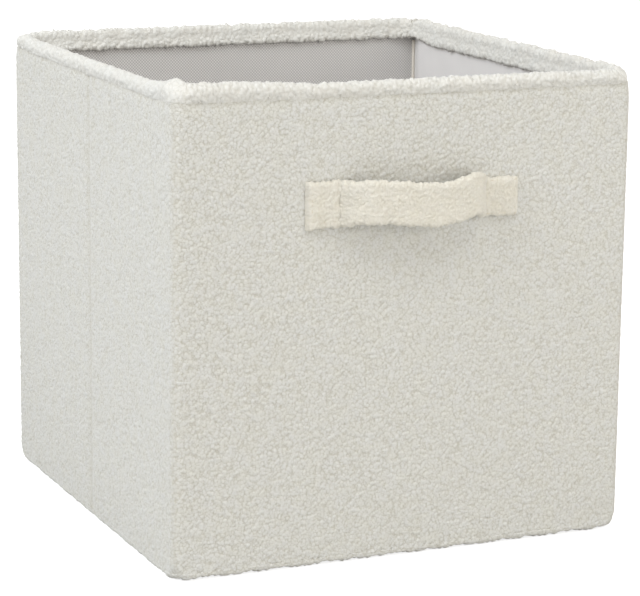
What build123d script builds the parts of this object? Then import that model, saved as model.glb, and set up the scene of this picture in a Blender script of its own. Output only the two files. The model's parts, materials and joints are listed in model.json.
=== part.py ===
from build123d import *
import os

# Folding storage bin of cloth over board, in millimetres.
# The origin is the middle of the underside, +Z is up, the front with its handle faces -Y.

# Overall size, outside the rim
width = 300.0
depth = 300.0
height = 290.0

# Wall build-up, from the outside in
rim_proud = 1.0
cover_thick = 3.0
board_thick = 2.5
lining_thick = 0.8
rim_lip = 3.0

# Rolled rim round the mouth
rim_outer_drop = 10.0
rim_inner_drop = 14.0
rim_cap = 5.2
rim_crest_flat = 0.4
rim_corner = 12.0
rim_dip_radius = 14.0
rim_dip_reach = 10.0

# Covers, boards and seam tapes
cover_corner = 6.0
crease_round = 1.5
board_end_gap = 1.5
board_foot_gap = 2.0
board_corner = 4.0
slot_gap = 0.3
tape_radius = 1.4

# Fold lines of the walls
leaf_gap = 0.6
front_return = 2.2

# Cloth tray under the walls
tray_floor = 1.2
tray_wall = 3.0
tray_edge_round = 4.0

# Base that tips up towards the back wall
base_board_thick = 2.4
sleeve_thick = 0.6
base_lift = 0.3
base_rear_gap = 0.4
base_side_gap = 1.2
base_front_gap = 1.0
base_corner = 8.0
base_tape_gap = 0.3
wall_lift = 0.6
wall_rest_gap = 0.3

# Strap handle on the front
handle_shift = 2.0
handle_height = 217.5
handle_length = 138.0
handle_span = 94.0
handle_knee = 72.0
handle_knee_out = 11.0
handle_bow = 15.0
strap_width = 25.0
strap_thick = 4.5
strap_edge_bevel = 1.3
seam_bend = 10.0
knee_bend = 24.0
crown_bend = 180.0
grip_length = 72.0
grip_gap = 0.3

# Faces of the wall layers, measured inwards from the outside of the rim
cover_face = rim_proud
board_face = cover_face + cover_thick
lining_face = board_face + board_thick
lip_face = lining_face + lining_thick
rim_thick = lip_face + rim_lip

# Heights
base_thick = base_board_thick + 2 * sleeve_thick
base_bottom = tray_floor + base_lift
base_top = base_bottom + base_thick
wall_bottom = base_top + wall_lift
tray_top = wall_bottom - wall_rest_gap
cover_top = height - rim_outer_drop
lip_bottom = height - rim_inner_drop
slot_top = height - rim_cap

# Fold lines
base_axis_y = depth / 2 - rim_thick - base_rear_gap
rear_axis_y = base_axis_y - base_thick
front_axis_y = -(depth / 2 - rim_thick - front_return)
crease_axis_y = (rear_axis_y + front_axis_y) / 2

# Room beyond the object that the cutting blocks take in
beyond = 20.0
far_x = width / 2 + beyond
far_y = depth / 2 + beyond
far_z = height + beyond


def block(x_low, x_high, y_low, y_high, z_low, z_high):
    """Box between two ends on each axis."""
    centre = Pos((x_low + x_high) / 2, (y_low + y_high) / 2, (z_low + z_high) / 2)
    return centre * Box(x_high - x_low, y_high - y_low, z_high - z_low)


def outline(inset, corner):
    """Plan outline of the bin, set in from the outside of the rim."""
    across = width - 2 * inset
    along = depth - 2 * inset
    if corner > 0:
        return RectangleRounded(across, along, corner)
    return Rectangle(across, along)


def wall_ring(face, thick, corner, bottom, top):
    """One cloth layer of the walls as a closed ring."""
    section = outline(face, corner) - outline(face + thick, max(corner - thick, 0))
    return Pos(0, 0, bottom) * extrude(section, amount=top - bottom)


def wall_zones():
    """Blocks that part the ring at the corner folds and the creases."""
    half = leaf_gap / 2
    rear_leaf = (crease_axis_y + half, rear_axis_y - half)
    front_leaf = (front_axis_y + half, crease_axis_y - half)
    return {
        "back": block(-far_x, far_x, rear_axis_y + half, far_y, 0, far_z),
        "front": block(-far_x, far_x, -far_y, front_axis_y - half, 0, far_z),
        "left_rear": block(-far_x, 0, *rear_leaf, 0, far_z),
        "left_front": block(-far_x, 0, *front_leaf, 0, far_z),
        "right_rear": block(0, far_x, *rear_leaf, 0, far_z),
        "right_front": block(0, far_x, *front_leaf, 0, far_z),
    }


def cover_ring():
    """Curly outer cloth, from the foot seam up to the rim."""
    return wall_ring(cover_face, cover_thick, cover_corner, wall_bottom, cover_top)


def lining_ring():
    """Inner cloth, up into the slot of the rim."""
    return wall_ring(lining_face, lining_thick, 0, wall_bottom, slot_top - slot_gap)


def corner_dip(side_x, side_y):
    """What is taken off one corner of the rim, so that its crest falls away softly."""
    corner_x = side_x * (width / 2 - rim_corner)
    corner_y = side_y * (depth / 2 - rim_corner)
    diagonal = Vector(side_x, side_y, 0).normalized()
    crest = Vector(corner_x, corner_y, height) + diagonal * (rim_corner - rim_dip_reach)
    axle = crest - Vector(0, 0, rim_dip_radius)
    roll = Plane(axle, x_dir=diagonal, z_dir=diagonal.cross(Vector(0, 0, -1)))
    reach = 2 * rim_dip_radius
    outer_quarter = Pos(reach / 2, reach / 2) * Rectangle(reach, reach)
    section = outer_quarter - Circle(rim_dip_radius)
    return extrude(roll * section, amount=2 * rim_corner, both=True)


def rim_ring():
    """Rolled binding: a round crest, and a slot that takes the board and the lining."""
    roll = wall_ring(0, rim_thick, rim_corner, lip_bottom, height)
    crest = roll.faces().sort_by(Axis.Z)[-1].edges()
    roll = fillet(crest, (rim_thick - rim_crest_flat) / 2)
    roll -= wall_ring(0, board_face, rim_corner, lip_bottom, cover_top)
    roll -= wall_ring(board_face, lip_face - board_face, rim_corner - board_face, lip_bottom, slot_top)
    for side_x in (-1, 1):
        for side_y in (-1, 1):
            roll -= corner_dip(side_x, side_y)
    return roll


def wall_board(name):
    """Stiff panel of one wall or leaf, with its corners rounded off."""
    z_ends = (wall_bottom + board_foot_gap, slot_top - slot_gap)
    inner_x = width / 2 - lining_face
    outer_x = width / 2 - board_face
    inner_y = depth / 2 - lining_face
    outer_y = depth / 2 - board_face
    reach = width / 2 - rim_corner
    end = leaf_gap / 2 + board_end_gap
    x_ends = (-outer_x, -inner_x) if name.startswith("left") else (inner_x, outer_x)
    if name == "front":
        panel = block(-reach, reach, -outer_y, -inner_y, *z_ends)
    elif name == "back":
        panel = block(-reach, reach, inner_y, outer_y, *z_ends)
    elif name.endswith("rear"):
        panel = block(*x_ends, crease_axis_y + end, rear_axis_y - end, *z_ends)
    else:
        panel = block(*x_ends, front_axis_y + end, crease_axis_y - end, *z_ends)
    thickness_axis = Axis.Y if name in ("front", "back") else Axis.X
    return fillet(panel.edges().filter_by(thickness_axis), board_corner)


def crease_softened(cover):
    """Side cover with the outer edge along its crease rounded, which shows as a groove."""
    edges = cover.edges().filter_by(Axis.Z)
    at_crease = edges.sort_by(lambda edge: abs(edge.center().Y - crease_axis_y))[:2]
    outer = at_crease.sort_by(lambda edge: abs(edge.center().X))[-1]
    return fillet(outer, crease_round)


def corner_tape(side_x, side_y):
    """Rounded seam tape that fills one inside corner, from the foot to the rim."""
    inside = Pos(-side_x * tape_radius, -side_y * tape_radius) * Rectangle(2 * tape_radius, 2 * tape_radius)
    bead = Circle(tape_radius) & inside
    corner = Pos(side_x * (width / 2 - lip_face), side_y * (depth / 2 - lip_face), wall_bottom)
    return corner * extrude(bead, amount=lip_bottom - wall_bottom)


def bottom_cover():
    """Cloth tray that the walls stand on, with a soft lower edge."""
    outer = extrude(outline(cover_face, cover_corner), amount=tray_top)
    lower = outer.faces().sort_by(Axis.Z)[0].edges()
    outer = fillet(lower, tray_edge_round)
    hollow = outline(cover_face + tray_wall, cover_corner - tray_wall)
    return outer - Pos(0, 0, tray_floor) * extrude(hollow, amount=tray_top)


def base_ends():
    """Plan ends of the base: half its width, then its front and rear edge."""
    half_width = width / 2 - rim_thick - base_side_gap
    front = -(depth / 2 - lip_face - base_front_gap)
    return half_width, front, base_axis_y


def base_plate(inset, bottom, thick):
    """Flat plate of the base's outline, set in at the sides and the front."""
    half_width, front, rear = base_ends()
    plate = block(inset - half_width, half_width - inset, front + inset, rear, bottom, bottom + thick)
    front_corners = plate.edges().filter_by(Axis.Z).sort_by(Axis.Y)[:2]
    return fillet(front_corners, base_corner - inset)


def base_board():
    """Stiff board inside the base."""
    return base_plate(sleeve_thick, base_bottom + sleeve_thick, base_board_thick)


def base_sleeve():
    """Cloth sleeve round the base board, open along the rear edge where it is sewn on."""
    return base_plate(0, base_bottom, base_thick) - base_board()


def base_hinge():
    """Folded tape between the rear edge of the base and the foot of the back wall."""
    half_width = base_ends()[0]
    front = base_axis_y + base_tape_gap
    rear = depth / 2 - lip_face
    return block(-half_width, half_width, front, rear, tray_floor, base_top)


def handle_path():
    """Middle line of the strap in plan: flat tabs, a bend at each seam, a bowed grip."""
    face = -(depth / 2 - cover_face)
    flat = face - strap_thick / 2
    knee = face - handle_knee_out - strap_thick / 2
    crown = face - handle_bow - strap_thick / 2
    points = [
        (handle_shift - handle_length / 2, flat),
        (handle_shift - handle_span / 2, flat),
        (handle_shift - handle_knee / 2, knee),
        (handle_shift, crown),
        (handle_shift + handle_knee / 2, knee),
        (handle_shift + handle_span / 2, flat),
        (handle_shift + handle_length / 2, flat),
    ]
    bends = [seam_bend, knee_bend, crown_bend, knee_bend, seam_bend]
    return FilletPolyline(*points, radius=bends)


def handle_strap():
    """Whole strap, with its long edges bevelled."""
    band = extrude(trace(handle_path(), strap_thick), amount=strap_width / 2, both=True)
    long_edges = band.faces().filter_by(Axis.Z).edges()
    return Pos(0, 0, handle_height) * chamfer(long_edges, strap_edge_bevel)


def handle_pieces():
    """The free grip, and the two ends that stay sewn to the front."""
    strap = handle_strap()
    half = grip_length / 2
    low = handle_shift - half
    high = handle_shift + half
    return {
        "handle_left_end": strap & block(-far_x, low - grip_gap, -far_y, far_y, 0, far_z),
        "handle_grip": strap & block(low, high, -far_y, far_y, 0, far_z),
        "handle_right_end": strap & block(high + grip_gap, far_x, -far_y, far_y, 0, far_z),
    }


def wall_pieces():
    """Cover, board, lining and rim of the front, the back and the four side leaves."""
    pieces = {}
    cover = cover_ring()
    lining = lining_ring()
    rim = rim_ring()
    for name, zone in wall_zones().items():
        leaf_cover = cover & zone
        is_leaf = name not in ("front", "back")
        pieces[f"{name}_cover"] = crease_softened(leaf_cover) if is_leaf else leaf_cover
        pieces[f"{name}_board"] = wall_board(name)
        pieces[f"{name}_lining"] = lining & zone
        pieces[f"{name}_rim"] = rim & zone
    return pieces


def bin_pieces():
    """Every piece of the bin by name."""
    pieces = wall_pieces()
    for row, side_y in (("back", 1), ("front", -1)):
        for side, side_x in (("left", -1), ("right", 1)):
            pieces[f"{row}_{side}_tape"] = corner_tape(side_x, side_y)
    pieces["bottom_cover"] = bottom_cover()
    pieces["base_board"] = base_board()
    pieces["base_sleeve"] = base_sleeve()
    pieces["base_hinge"] = base_hinge()
    pieces.update(handle_pieces())
    return pieces


os.makedirs("parts", exist_ok=True)
for node, solid in bin_pieces().items():
    export_step(solid, f"parts/{node}.step")
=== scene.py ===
"""Dresses the folding cloth bin: curly covers, rolled rim, grey lining, base, seam tapes and strap handle."""

import json
import logging
import math
from dataclasses import dataclass
from enum import Enum

import bpy
import numpy as np
from mathutils import Matrix, Vector


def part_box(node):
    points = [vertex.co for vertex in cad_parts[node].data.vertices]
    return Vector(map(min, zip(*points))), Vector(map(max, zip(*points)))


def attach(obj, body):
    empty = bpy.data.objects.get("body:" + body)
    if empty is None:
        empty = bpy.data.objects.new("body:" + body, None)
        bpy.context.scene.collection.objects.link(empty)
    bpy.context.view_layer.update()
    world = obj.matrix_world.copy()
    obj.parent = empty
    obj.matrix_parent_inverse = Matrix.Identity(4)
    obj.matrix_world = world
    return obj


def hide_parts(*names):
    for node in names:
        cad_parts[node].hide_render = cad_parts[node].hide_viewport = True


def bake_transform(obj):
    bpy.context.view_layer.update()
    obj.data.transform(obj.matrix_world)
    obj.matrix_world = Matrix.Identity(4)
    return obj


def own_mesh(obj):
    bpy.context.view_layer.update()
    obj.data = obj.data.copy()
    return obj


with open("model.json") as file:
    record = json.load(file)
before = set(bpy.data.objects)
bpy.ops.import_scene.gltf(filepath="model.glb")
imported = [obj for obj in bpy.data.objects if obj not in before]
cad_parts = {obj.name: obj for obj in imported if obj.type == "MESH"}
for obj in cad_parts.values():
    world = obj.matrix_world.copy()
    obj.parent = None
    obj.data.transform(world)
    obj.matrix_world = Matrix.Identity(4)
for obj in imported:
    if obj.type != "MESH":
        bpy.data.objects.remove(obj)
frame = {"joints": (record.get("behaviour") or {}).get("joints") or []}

log = logging.getLogger("cloth_bin")

MM = 0.001
PILE_LEAN = "out"
PILE_RISE = "pile"
PILE_ROOT = "root"
CLOTH_PLACE = "cloth"
FOLDED_TRAVEL = 242.1 * MM
BRACE = 0.02
SIDEWAYS = 0.99
LEAST_CORNER = 0.02 * MM
LEAST_LENGTH = 1e-9
BOARDED = ("front", "back", "left_rear", "left_front", "right_rear", "right_front", "base")

Colour = tuple[float, float, float]
Spot = tuple[float, float]
Socket = bpy.types.NodeSocket


class Slot(Enum):
    """Material slots of the record."""

    BOUCLE = "boucle"
    RIM = "rim"
    STRAP = "strap"
    LINING = "lining"
    TAPE = "tape"
    BOARD = "board"


class Side(Enum):
    """Side wall of the bin, with the sign of its x."""

    LEFT = -1
    RIGHT = 1


class Held(Enum):
    """How a sheet of cloth is held."""

    STRETCHED = "stretched"


def smooth_step(value: np.ndarray, low: float, high: float) -> np.ndarray:
    """Rises smoothly from 0 at low to 1 at high."""
    share = np.clip((value - low) / (high - low), 0.0, 1.0)
    return share * share * (3 - 2 * share)


def joint_place(name: str) -> Vector:
    """Gives the point that a joint of the frame turns about."""
    return next(Vector(joint["pos_m"]) for joint in frame["joints"] if joint["name"] == name)


def linked(name: str, data: bpy.types.ID) -> bpy.types.Object:
    """Makes an object and links it to the scene.

    Args:
        name: Its name.
        data: Its mesh, lamp or camera.

    Returns:
        The object.
    """
    obj = bpy.data.objects.new(name, data)
    bpy.context.scene.collection.objects.link(obj)
    return obj


def placed(piece: bpy.types.Object, body: str, node: str | None = None) -> None:
    """Puts a piece on its body, and hides the part that it replaces.

    Args:
        piece: The piece.
        body: The body that it moves with.
        node: The node that it replaces, where it replaces one.
    """
    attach(piece, body)
    if node:
        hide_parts(node)
    log.info("made %s", piece.name)


def turned(outward: np.ndarray) -> np.ndarray:
    """Marks the corners of an outline: 1 where it faces between two walls, and 0 along a wall."""
    return np.abs(2 * outward[:, 0] * outward[:, 1])


def uneven_bumps(run: np.ndarray, slow: tuple[float, float], quick: tuple[float, float]) -> np.ndarray:
    """Gives the height of a row of bumps of uneven length, from 0 between them to 1."""
    return np.abs(np.sin(math.pi * run + slow[0] * np.sin(slow[1] * run) + quick[0] * np.sin(quick[1] * run)))


@dataclass(frozen=True)
class CurlForm:
    """Form of curled yarn, in widths of one curl, and the share of its height that each part has."""

    drift_length: float = 1.2
    drift_reach: float = 0.9
    nub: tuple[float, float] = (0.15, 0.8)
    gap: float = 0.1
    ridge_length: float = 0.42
    ridge_width: float = 0.17
    nub_share: float = 0.38
    gap_share: float = 0.32
    ridge_share: float = 0.3


CURL = CurlForm()


class Graph:
    """Adds nodes to one tree and joins them."""

    def __init__(self, tree: bpy.types.NodeTree) -> None:
        """Takes the tree that the nodes go into."""
        self.tree = tree

    def put(self, node: bpy.types.Node, key: int | str, value: object) -> None:
        """Joins a socket to an input, or sets the input's own value.

        Args:
            node: Node that takes the value.
            key: Index or name of its input.
            value: A socket, or a plain value.
        """
        if isinstance(value, bpy.types.NodeSocket):
            self.tree.links.new(value, node.inputs[key])
        else:
            node.inputs[key].default_value = value

    def add(self, kind: str, inputs: dict[int | str, object] | None = None, **settings: object) -> bpy.types.Node:
        """Adds one node.

        Args:
            kind: Blender's name for the node.
            inputs: Sockets or values by input.
            **settings: Properties of the node.

        Returns:
            The new node.
        """
        node = self.tree.nodes.new(kind)
        for key, value in settings.items():
            setattr(node, key, value)
        for key, value in (inputs or {}).items():
            self.put(node, key, value)
        return node

    def math(self, operation: str, *values: object) -> Socket:
        """Adds a Math node."""
        return self.add("ShaderNodeMath", dict(enumerate(values)), operation=operation).outputs[0]

    def vector(self, operation: str, *values: object) -> Socket:
        """Adds a Vector Math node."""
        return self.add("ShaderNodeVectorMath", dict(enumerate(values)), operation=operation).outputs[0]

    def scaled(self, vector: Socket, factor: object) -> Socket:
        """Multiplies a vector by a number."""
        node = self.add("ShaderNodeVectorMath", {0: vector, "Scale": factor}, operation="SCALE")
        return node.outputs[0]

    def step(self, value: Socket, low: float, high: float, start: float = 0.0, stop: float = 1.0) -> Socket:
        """Maps a value smoothly from one range to another.

        Args:
            value: The value.
            low: Value that gives start.
            high: Value that gives stop.
            start: Result at low.
            stop: Result at high.

        Returns:
            The mapped value.
        """
        inputs = {"Value": value, "From Min": low, "From Max": high, "To Min": start, "To Max": stop}
        node = self.add("ShaderNodeMapRange", inputs, interpolation_type="SMOOTHSTEP")
        return node.outputs["Result"]

    def noise(self, vector: Socket, size: object, detail: float, seed: object) -> bpy.types.Node:
        """Adds seeded noise."""
        inputs = {"Vector": vector, "W": seed, "Scale": self.math("DIVIDE", 1.0, size), "Detail": detail}
        return self.add("ShaderNodeTexNoise", inputs, noise_dimensions="4D")

    def mixed(self, share: object, first: object, second: object, blend: str = "MIX") -> Socket:
        """Mixes two colours.

        Args:
            share: How much of the second shows.
            first: First colour.
            second: Second colour.
            blend: Way of mixing.

        Returns:
            The mixed colour.
        """
        node = self.add("ShaderNodeMix", data_type="RGBA", blend_type=blend)
        for key, value in ((0, share), (6, first), (7, second)):
            self.put(node, key, value)
        return node.outputs[2]

    def stored(self, geometry: Socket, name: str, value: object, kind: str) -> Socket:
        """Keeps a value at each point of a mesh under a name.

        Args:
            geometry: The mesh.
            name: Name of the attribute.
            value: The value, or its socket.
            kind: Blender's kind of data.

        Returns:
            The mesh with the attribute.
        """
        node = self.add("GeometryNodeStoreNamedAttribute", data_type=kind, domain="POINT")
        for key, item in (("Geometry", geometry), ("Name", name), ("Value", value)):
            self.put(node, key, item)
        return node.outputs[0]

    def length(self, vector: Socket) -> Socket:
        """Measures a vector."""
        return self.add("ShaderNodeVectorMath", {0: vector}, operation="LENGTH").outputs["Value"]

    def attribute(self, name: str) -> bpy.types.Node:
        """Reads an attribute of the mesh in a material."""
        return self.add("ShaderNodeAttribute", attribute_name=name)

    def lean(self) -> Socket:
        """Reads the pile's lean in a Geometry Nodes tree."""
        node = self.add("GeometryNodeInputNamedAttribute", {"Name": PILE_LEAN}, data_type="FLOAT_VECTOR")
        return node.outputs[0]

    def realized(self, geometry: Socket) -> Socket:
        """Makes instances plain mesh."""
        return self.add("GeometryNodeRealizeInstances", {"Geometry": geometry}).outputs[0]

    def dressed(self, geometry: Socket, start: bpy.types.Node, end: bpy.types.Node) -> None:
        """Gives a mesh the material that the tree was handed, and puts it out of the tree."""
        inputs = {"Geometry": geometry, "Material": start.outputs["Material"]}
        self.put(end, "Geometry", self.add("GeometryNodeSetMaterial", inputs).outputs[0])

    def curl(self, place: Socket, size: object, seed: object) -> Socket:
        """Gives the height of curled yarn: warped nubs with gaps between them and ridges across them.

        Args:
            place: Where it is read.
            size: Width of one curl, in metres.
            seed: Seed of the pattern.

        Returns:
            The height, from 0 in the pits to 1 on the crests.
        """
        drift = self.noise(place, self.math("MULTIPLY", size, CURL.drift_length), 0.0, seed)
        centred = self.vector("SUBTRACT", drift.outputs["Color"], (0.5, 0.5, 0.5))
        reach = self.math("MULTIPLY", size, CURL.drift_reach)
        warped = self.vector("ADD", place, self.scaled(centred, reach))
        inputs = {"Vector": warped, "Scale": self.math("DIVIDE", 1.0, size)}
        cells = self.add("ShaderNodeTexVoronoi", inputs, feature="F1")
        nub = self.step(cells.outputs["Distance"], *CURL.nub, 1.0, 0.0)
        edges = self.add("ShaderNodeTexVoronoi", inputs, feature="DISTANCE_TO_EDGE")
        full = self.step(edges.outputs["Distance"], 0.0, CURL.gap)
        wave = self.noise(warped, self.math("MULTIPLY", size, CURL.ridge_length), 1.0, seed).outputs["Fac"]
        fold = self.math("ABSOLUTE", self.math("SUBTRACT", wave, 0.5))
        ridge = self.step(fold, 0.0, CURL.ridge_width, 1.0, 0.0)
        parts = ((nub, CURL.nub_share), (full, CURL.gap_share), (ridge, CURL.ridge_share))
        shares = [self.math("MULTIPLY", part, share) for part, share in parts]
        return self.math("ADD", self.math("ADD", *shares[:2]), shares[2])


@dataclass(frozen=True)
class Port:
    """One named socket of a node group."""

    name: str
    kind: str
    default: object = None


GroupNodes = tuple[Graph, bpy.types.Node, bpy.types.Node]


def new_group(name: str, kind: str, inputs: list[Port], outputs: list[Port]) -> GroupNodes:
    """Starts a node group with named sockets.

    Args:
        name: Name of the group.
        kind: Blender's kind of node tree.
        inputs: Its input sockets.
        outputs: Its output sockets.

    Returns:
        A graph of the group, with its input and output nodes.
    """
    tree = bpy.data.node_groups.new(name, kind)
    for direction, ports in (("INPUT", inputs), ("OUTPUT", outputs)):
        for port in ports:
            socket = tree.interface.new_socket(port.name, in_out=direction, socket_type=port.kind)
            if port.default is not None:
                socket.default_value = port.default
    graph = Graph(tree)
    return graph, graph.add("NodeGroupInput"), graph.add("NodeGroupOutput")


def new_geometry_group(name: str, sizes: list[Port]) -> GroupNodes:
    """Starts a Geometry Nodes group that takes a mesh, its sizes and a material, and puts out a mesh."""
    mesh = Port("Geometry", "NodeSocketGeometry")
    return new_group(name, "GeometryNodeTree", [mesh, *sizes, Port("Material", "NodeSocketMaterial")], [mesh])


class SharedEffects:
    """Shader node groups that several finishes use."""

    def __init__(self) -> None:
        """Builds each group once."""
        self.curl_grain = self._curl_grain()
        self.tone_drift = self._tone_drift()
        self.diamond_emboss = self._diamond_emboss()

    @staticmethod
    def _curl_grain() -> bpy.types.NodeTree:
        """Builds the grain of curled yarn that is finer than the mesh."""
        ports = [Port("Place", "NodeSocketVector"), Port("Size", "NodeSocketFloat", 1.0 * MM)]
        outputs = [Port("Curl", "NodeSocketFloat")]
        graph, start, end = new_group("curl_grain", "ShaderNodeTree", ports, outputs)
        curl = graph.curl(start.outputs["Place"], start.outputs["Size"], 1.0)
        graph.put(end, "Curl", curl)
        return graph.tree

    @staticmethod
    def _tone_drift() -> bpy.types.NodeTree:
        """Builds the slow drift between two dye tones."""
        ports = [
            Port("Place", "NodeSocketVector"),
            Port("Size", "NodeSocketFloat", 10.0 * MM),
            Port("Colour", "NodeSocketColor"),
            Port("Other Colour", "NodeSocketColor"),
        ]
        outputs = [Port("Colour", "NodeSocketColor")]
        graph, start, end = new_group("tone_drift", "ShaderNodeTree", ports, outputs)
        noise = graph.noise(start.outputs["Place"], start.outputs["Size"], 3.0, 3.0)
        share = graph.step(noise.outputs["Fac"], 0.3, 0.7)
        graph.put(end, "Colour", graph.mixed(share, start.outputs["Colour"], start.outputs["Other Colour"]))
        return graph.tree

    @staticmethod
    def _diamond_emboss() -> bpy.types.NodeTree:
        """Builds the fine diamond emboss of pressed lining cloth."""
        ports = [Port("Place", "NodeSocketVector"), Port("Pitch", "NodeSocketFloat", 1.0 * MM)]
        outputs = [Port("Rise", "NodeSocketFloat")]
        graph, start, end = new_group("diamond_emboss", "ShaderNodeTree", ports, outputs)
        parts = graph.add("ShaderNodeSeparateXYZ", {0: start.outputs["Place"]})
        turns = graph.math("DIVIDE", math.pi, start.outputs["Pitch"])
        angles = [graph.math("MULTIPLY", parts.outputs[axis], turns) for axis in ("X", "Y")]
        dots = graph.math("MULTIPLY", *(graph.math("SINE", angle) for angle in angles))
        graph.put(end, "Rise", graph.math("MULTIPLY_ADD", dots, 0.5, 0.5))
        return graph.tree


EFFECTS = SharedEffects()


@dataclass(frozen=True)
class Finish:
    """Look of one material: its two dye tones, its dark tone, and how rough and fuzzy it is. On pile the dark
    tone is painted shade.
    """

    name: str
    tone: Colour
    other_tone: Colour
    dark: Colour
    drift: float = 14.0 * MM
    grain: float = 1.3 * MM
    roughness: float = 0.92
    sheen: float = 0.2
    bump: float = 0.5
    relief: float = 0.5 * MM
    rough_drop: float = 0.06
    sheen_roughness: float = 0.45
    specular: float = 0.2

    def start(self) -> tuple[bpy.types.Material, Graph, Socket]:
        """Makes the material with its Principled shader.

        Returns:
            The material, a graph of its nodes, and the place that its patterns are read at.
        """
        material = bpy.data.materials.new(self.name)
        material.use_nodes = True
        graph = Graph(material.node_tree)
        shader = self.shader(graph)
        shader.inputs["Sheen Weight"].default_value = self.sheen
        shader.inputs["Sheen Roughness"].default_value = self.sheen_roughness
        shader.inputs["Specular IOR Level"].default_value = self.specular
        return material, graph, graph.add("ShaderNodeTexCoord").outputs["Object"]

    @staticmethod
    def shader(graph: Graph) -> bpy.types.Node:
        """Finds the material's Principled shader."""
        return graph.tree.nodes["Principled BSDF"]

    def toned(self, graph: Graph, place: Socket) -> Socket:
        """Adds the drift between the two dye tones.

        Args:
            graph: Graph of the material.
            place: Where the drift is read.

        Returns:
            The drifting colour.
        """
        drift = graph.add("ShaderNodeGroup", node_tree=EFFECTS.tone_drift)
        values = {"Place": place, "Size": self.drift}
        values |= {"Colour": (*self.tone, 1.0), "Other Colour": (*self.other_tone, 1.0)}
        for key, value in values.items():
            graph.put(drift, key, value)
        return drift.outputs["Colour"]

    def surfaced(self, graph: Graph, colour: Socket, roughness: Socket, rise: Socket) -> None:
        """Joins the surface's colour, roughness and bump to the shader.

        Args:
            graph: Graph of the material.
            colour: The colour.
            roughness: The roughness.
            rise: Height of the bump, from 0 to 1.
        """
        inputs = {"Strength": self.bump, "Distance": self.relief, "Height": rise}
        normal = graph.add("ShaderNodeBump", inputs).outputs["Normal"]
        for key, value in (("Base Color", colour), ("Roughness", roughness), ("Normal", normal)):
            graph.put(self.shader(graph), key, value)

    def material(self) -> bpy.types.Material:
        """Builds the material of a plain felted surface.

        Returns:
            The material.
        """
        material, graph, place = self.start()
        fibre = graph.noise(place, self.grain, 4.0, 5.0).outputs["Fac"]
        depth = graph.step(fibre, 0.35, 0.6)
        colour = graph.mixed(depth, (*self.dark, 1.0), self.toned(graph, place))
        roughness = graph.step(fibre, 0.3, 0.7, self.roughness - self.rough_drop, self.roughness)
        self.surfaced(graph, colour, roughness, fibre)
        return material


@dataclass(frozen=True)
class PileFinish(Finish):
    """Curled or brushed pile, with painted shade in the pits between the curls and where the pile is calmed."""

    pit_shade_share: float = 0.6
    grain_pit_shade_share: float = 0.4
    flat_nap_shade_share: float = 0.0
    rough_drop: float = 0.08

    def material(self) -> bpy.types.Material:
        """Builds the material of pile cloth.

        Returns:
            The material.
        """
        material, graph, _ = self.start()
        place = graph.attribute(PILE_ROOT).outputs["Vector"]
        inputs = {"Place": place, "Size": self.grain}
        curl = graph.add("ShaderNodeGroup", inputs, node_tree=EFFECTS.curl_grain).outputs["Curl"]
        rise = graph.attribute(PILE_RISE).outputs["Fac"]
        # Painted shade in the pits of the raised pile, where the curls stand low.
        deep = graph.math("MULTIPLY", graph.step(rise, 0.1, 0.7, 1.0, 0.0), self.pit_shade_share)
        # Painted shade in the pits of the curl grain that is finer than the mesh.
        fine = graph.math("MULTIPLY", graph.step(curl, 0.15, 0.6, 1.0, 0.0), self.grain_pit_shade_share)
        standing = graph.length(graph.attribute(PILE_LEAN).outputs["Vector"])
        # Painted shade where the pile is calmed: along the creases, in the seam under the rim and on the strap's
        # back, and a darker band down the corners.
        flat_nap_shade = graph.math("MULTIPLY", graph.step(standing, 0.2, 0.95, 1.0, 0.0), self.flat_nap_shade_share)
        pits = graph.math("ADD", graph.math("MAXIMUM", deep, fine), flat_nap_shade)
        colour = graph.mixed(pits, self.toned(graph, place), (*self.dark, 1.0))
        roughness = graph.step(rise, 0.0, 1.0, self.roughness, self.roughness - self.rough_drop)
        self.surfaced(graph, colour, roughness, curl)
        return material


@dataclass(frozen=True)
class EmbossedFinish(Finish):
    """Pressed lining cloth with a fine diamond emboss."""

    pitch: float = 1.05 * MM
    rough_drop: float = 0.1

    def material(self) -> bpy.types.Material:
        """Builds the material of embossed cloth.

        Returns:
            The material.
        """
        material, graph, place = self.start()
        cloth = graph.attribute(CLOTH_PLACE).outputs["Vector"]
        inputs = {"Place": cloth, "Pitch": self.pitch}
        rise = graph.add("ShaderNodeGroup", inputs, node_tree=EFFECTS.diamond_emboss).outputs["Rise"]
        colour = graph.mixed(rise, (*self.dark, 1.0), self.toned(graph, place))
        roughness = graph.step(rise, 0.0, 1.0, self.roughness, self.roughness - self.rough_drop)
        self.surfaced(graph, colour, roughness, rise)
        return material


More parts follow.
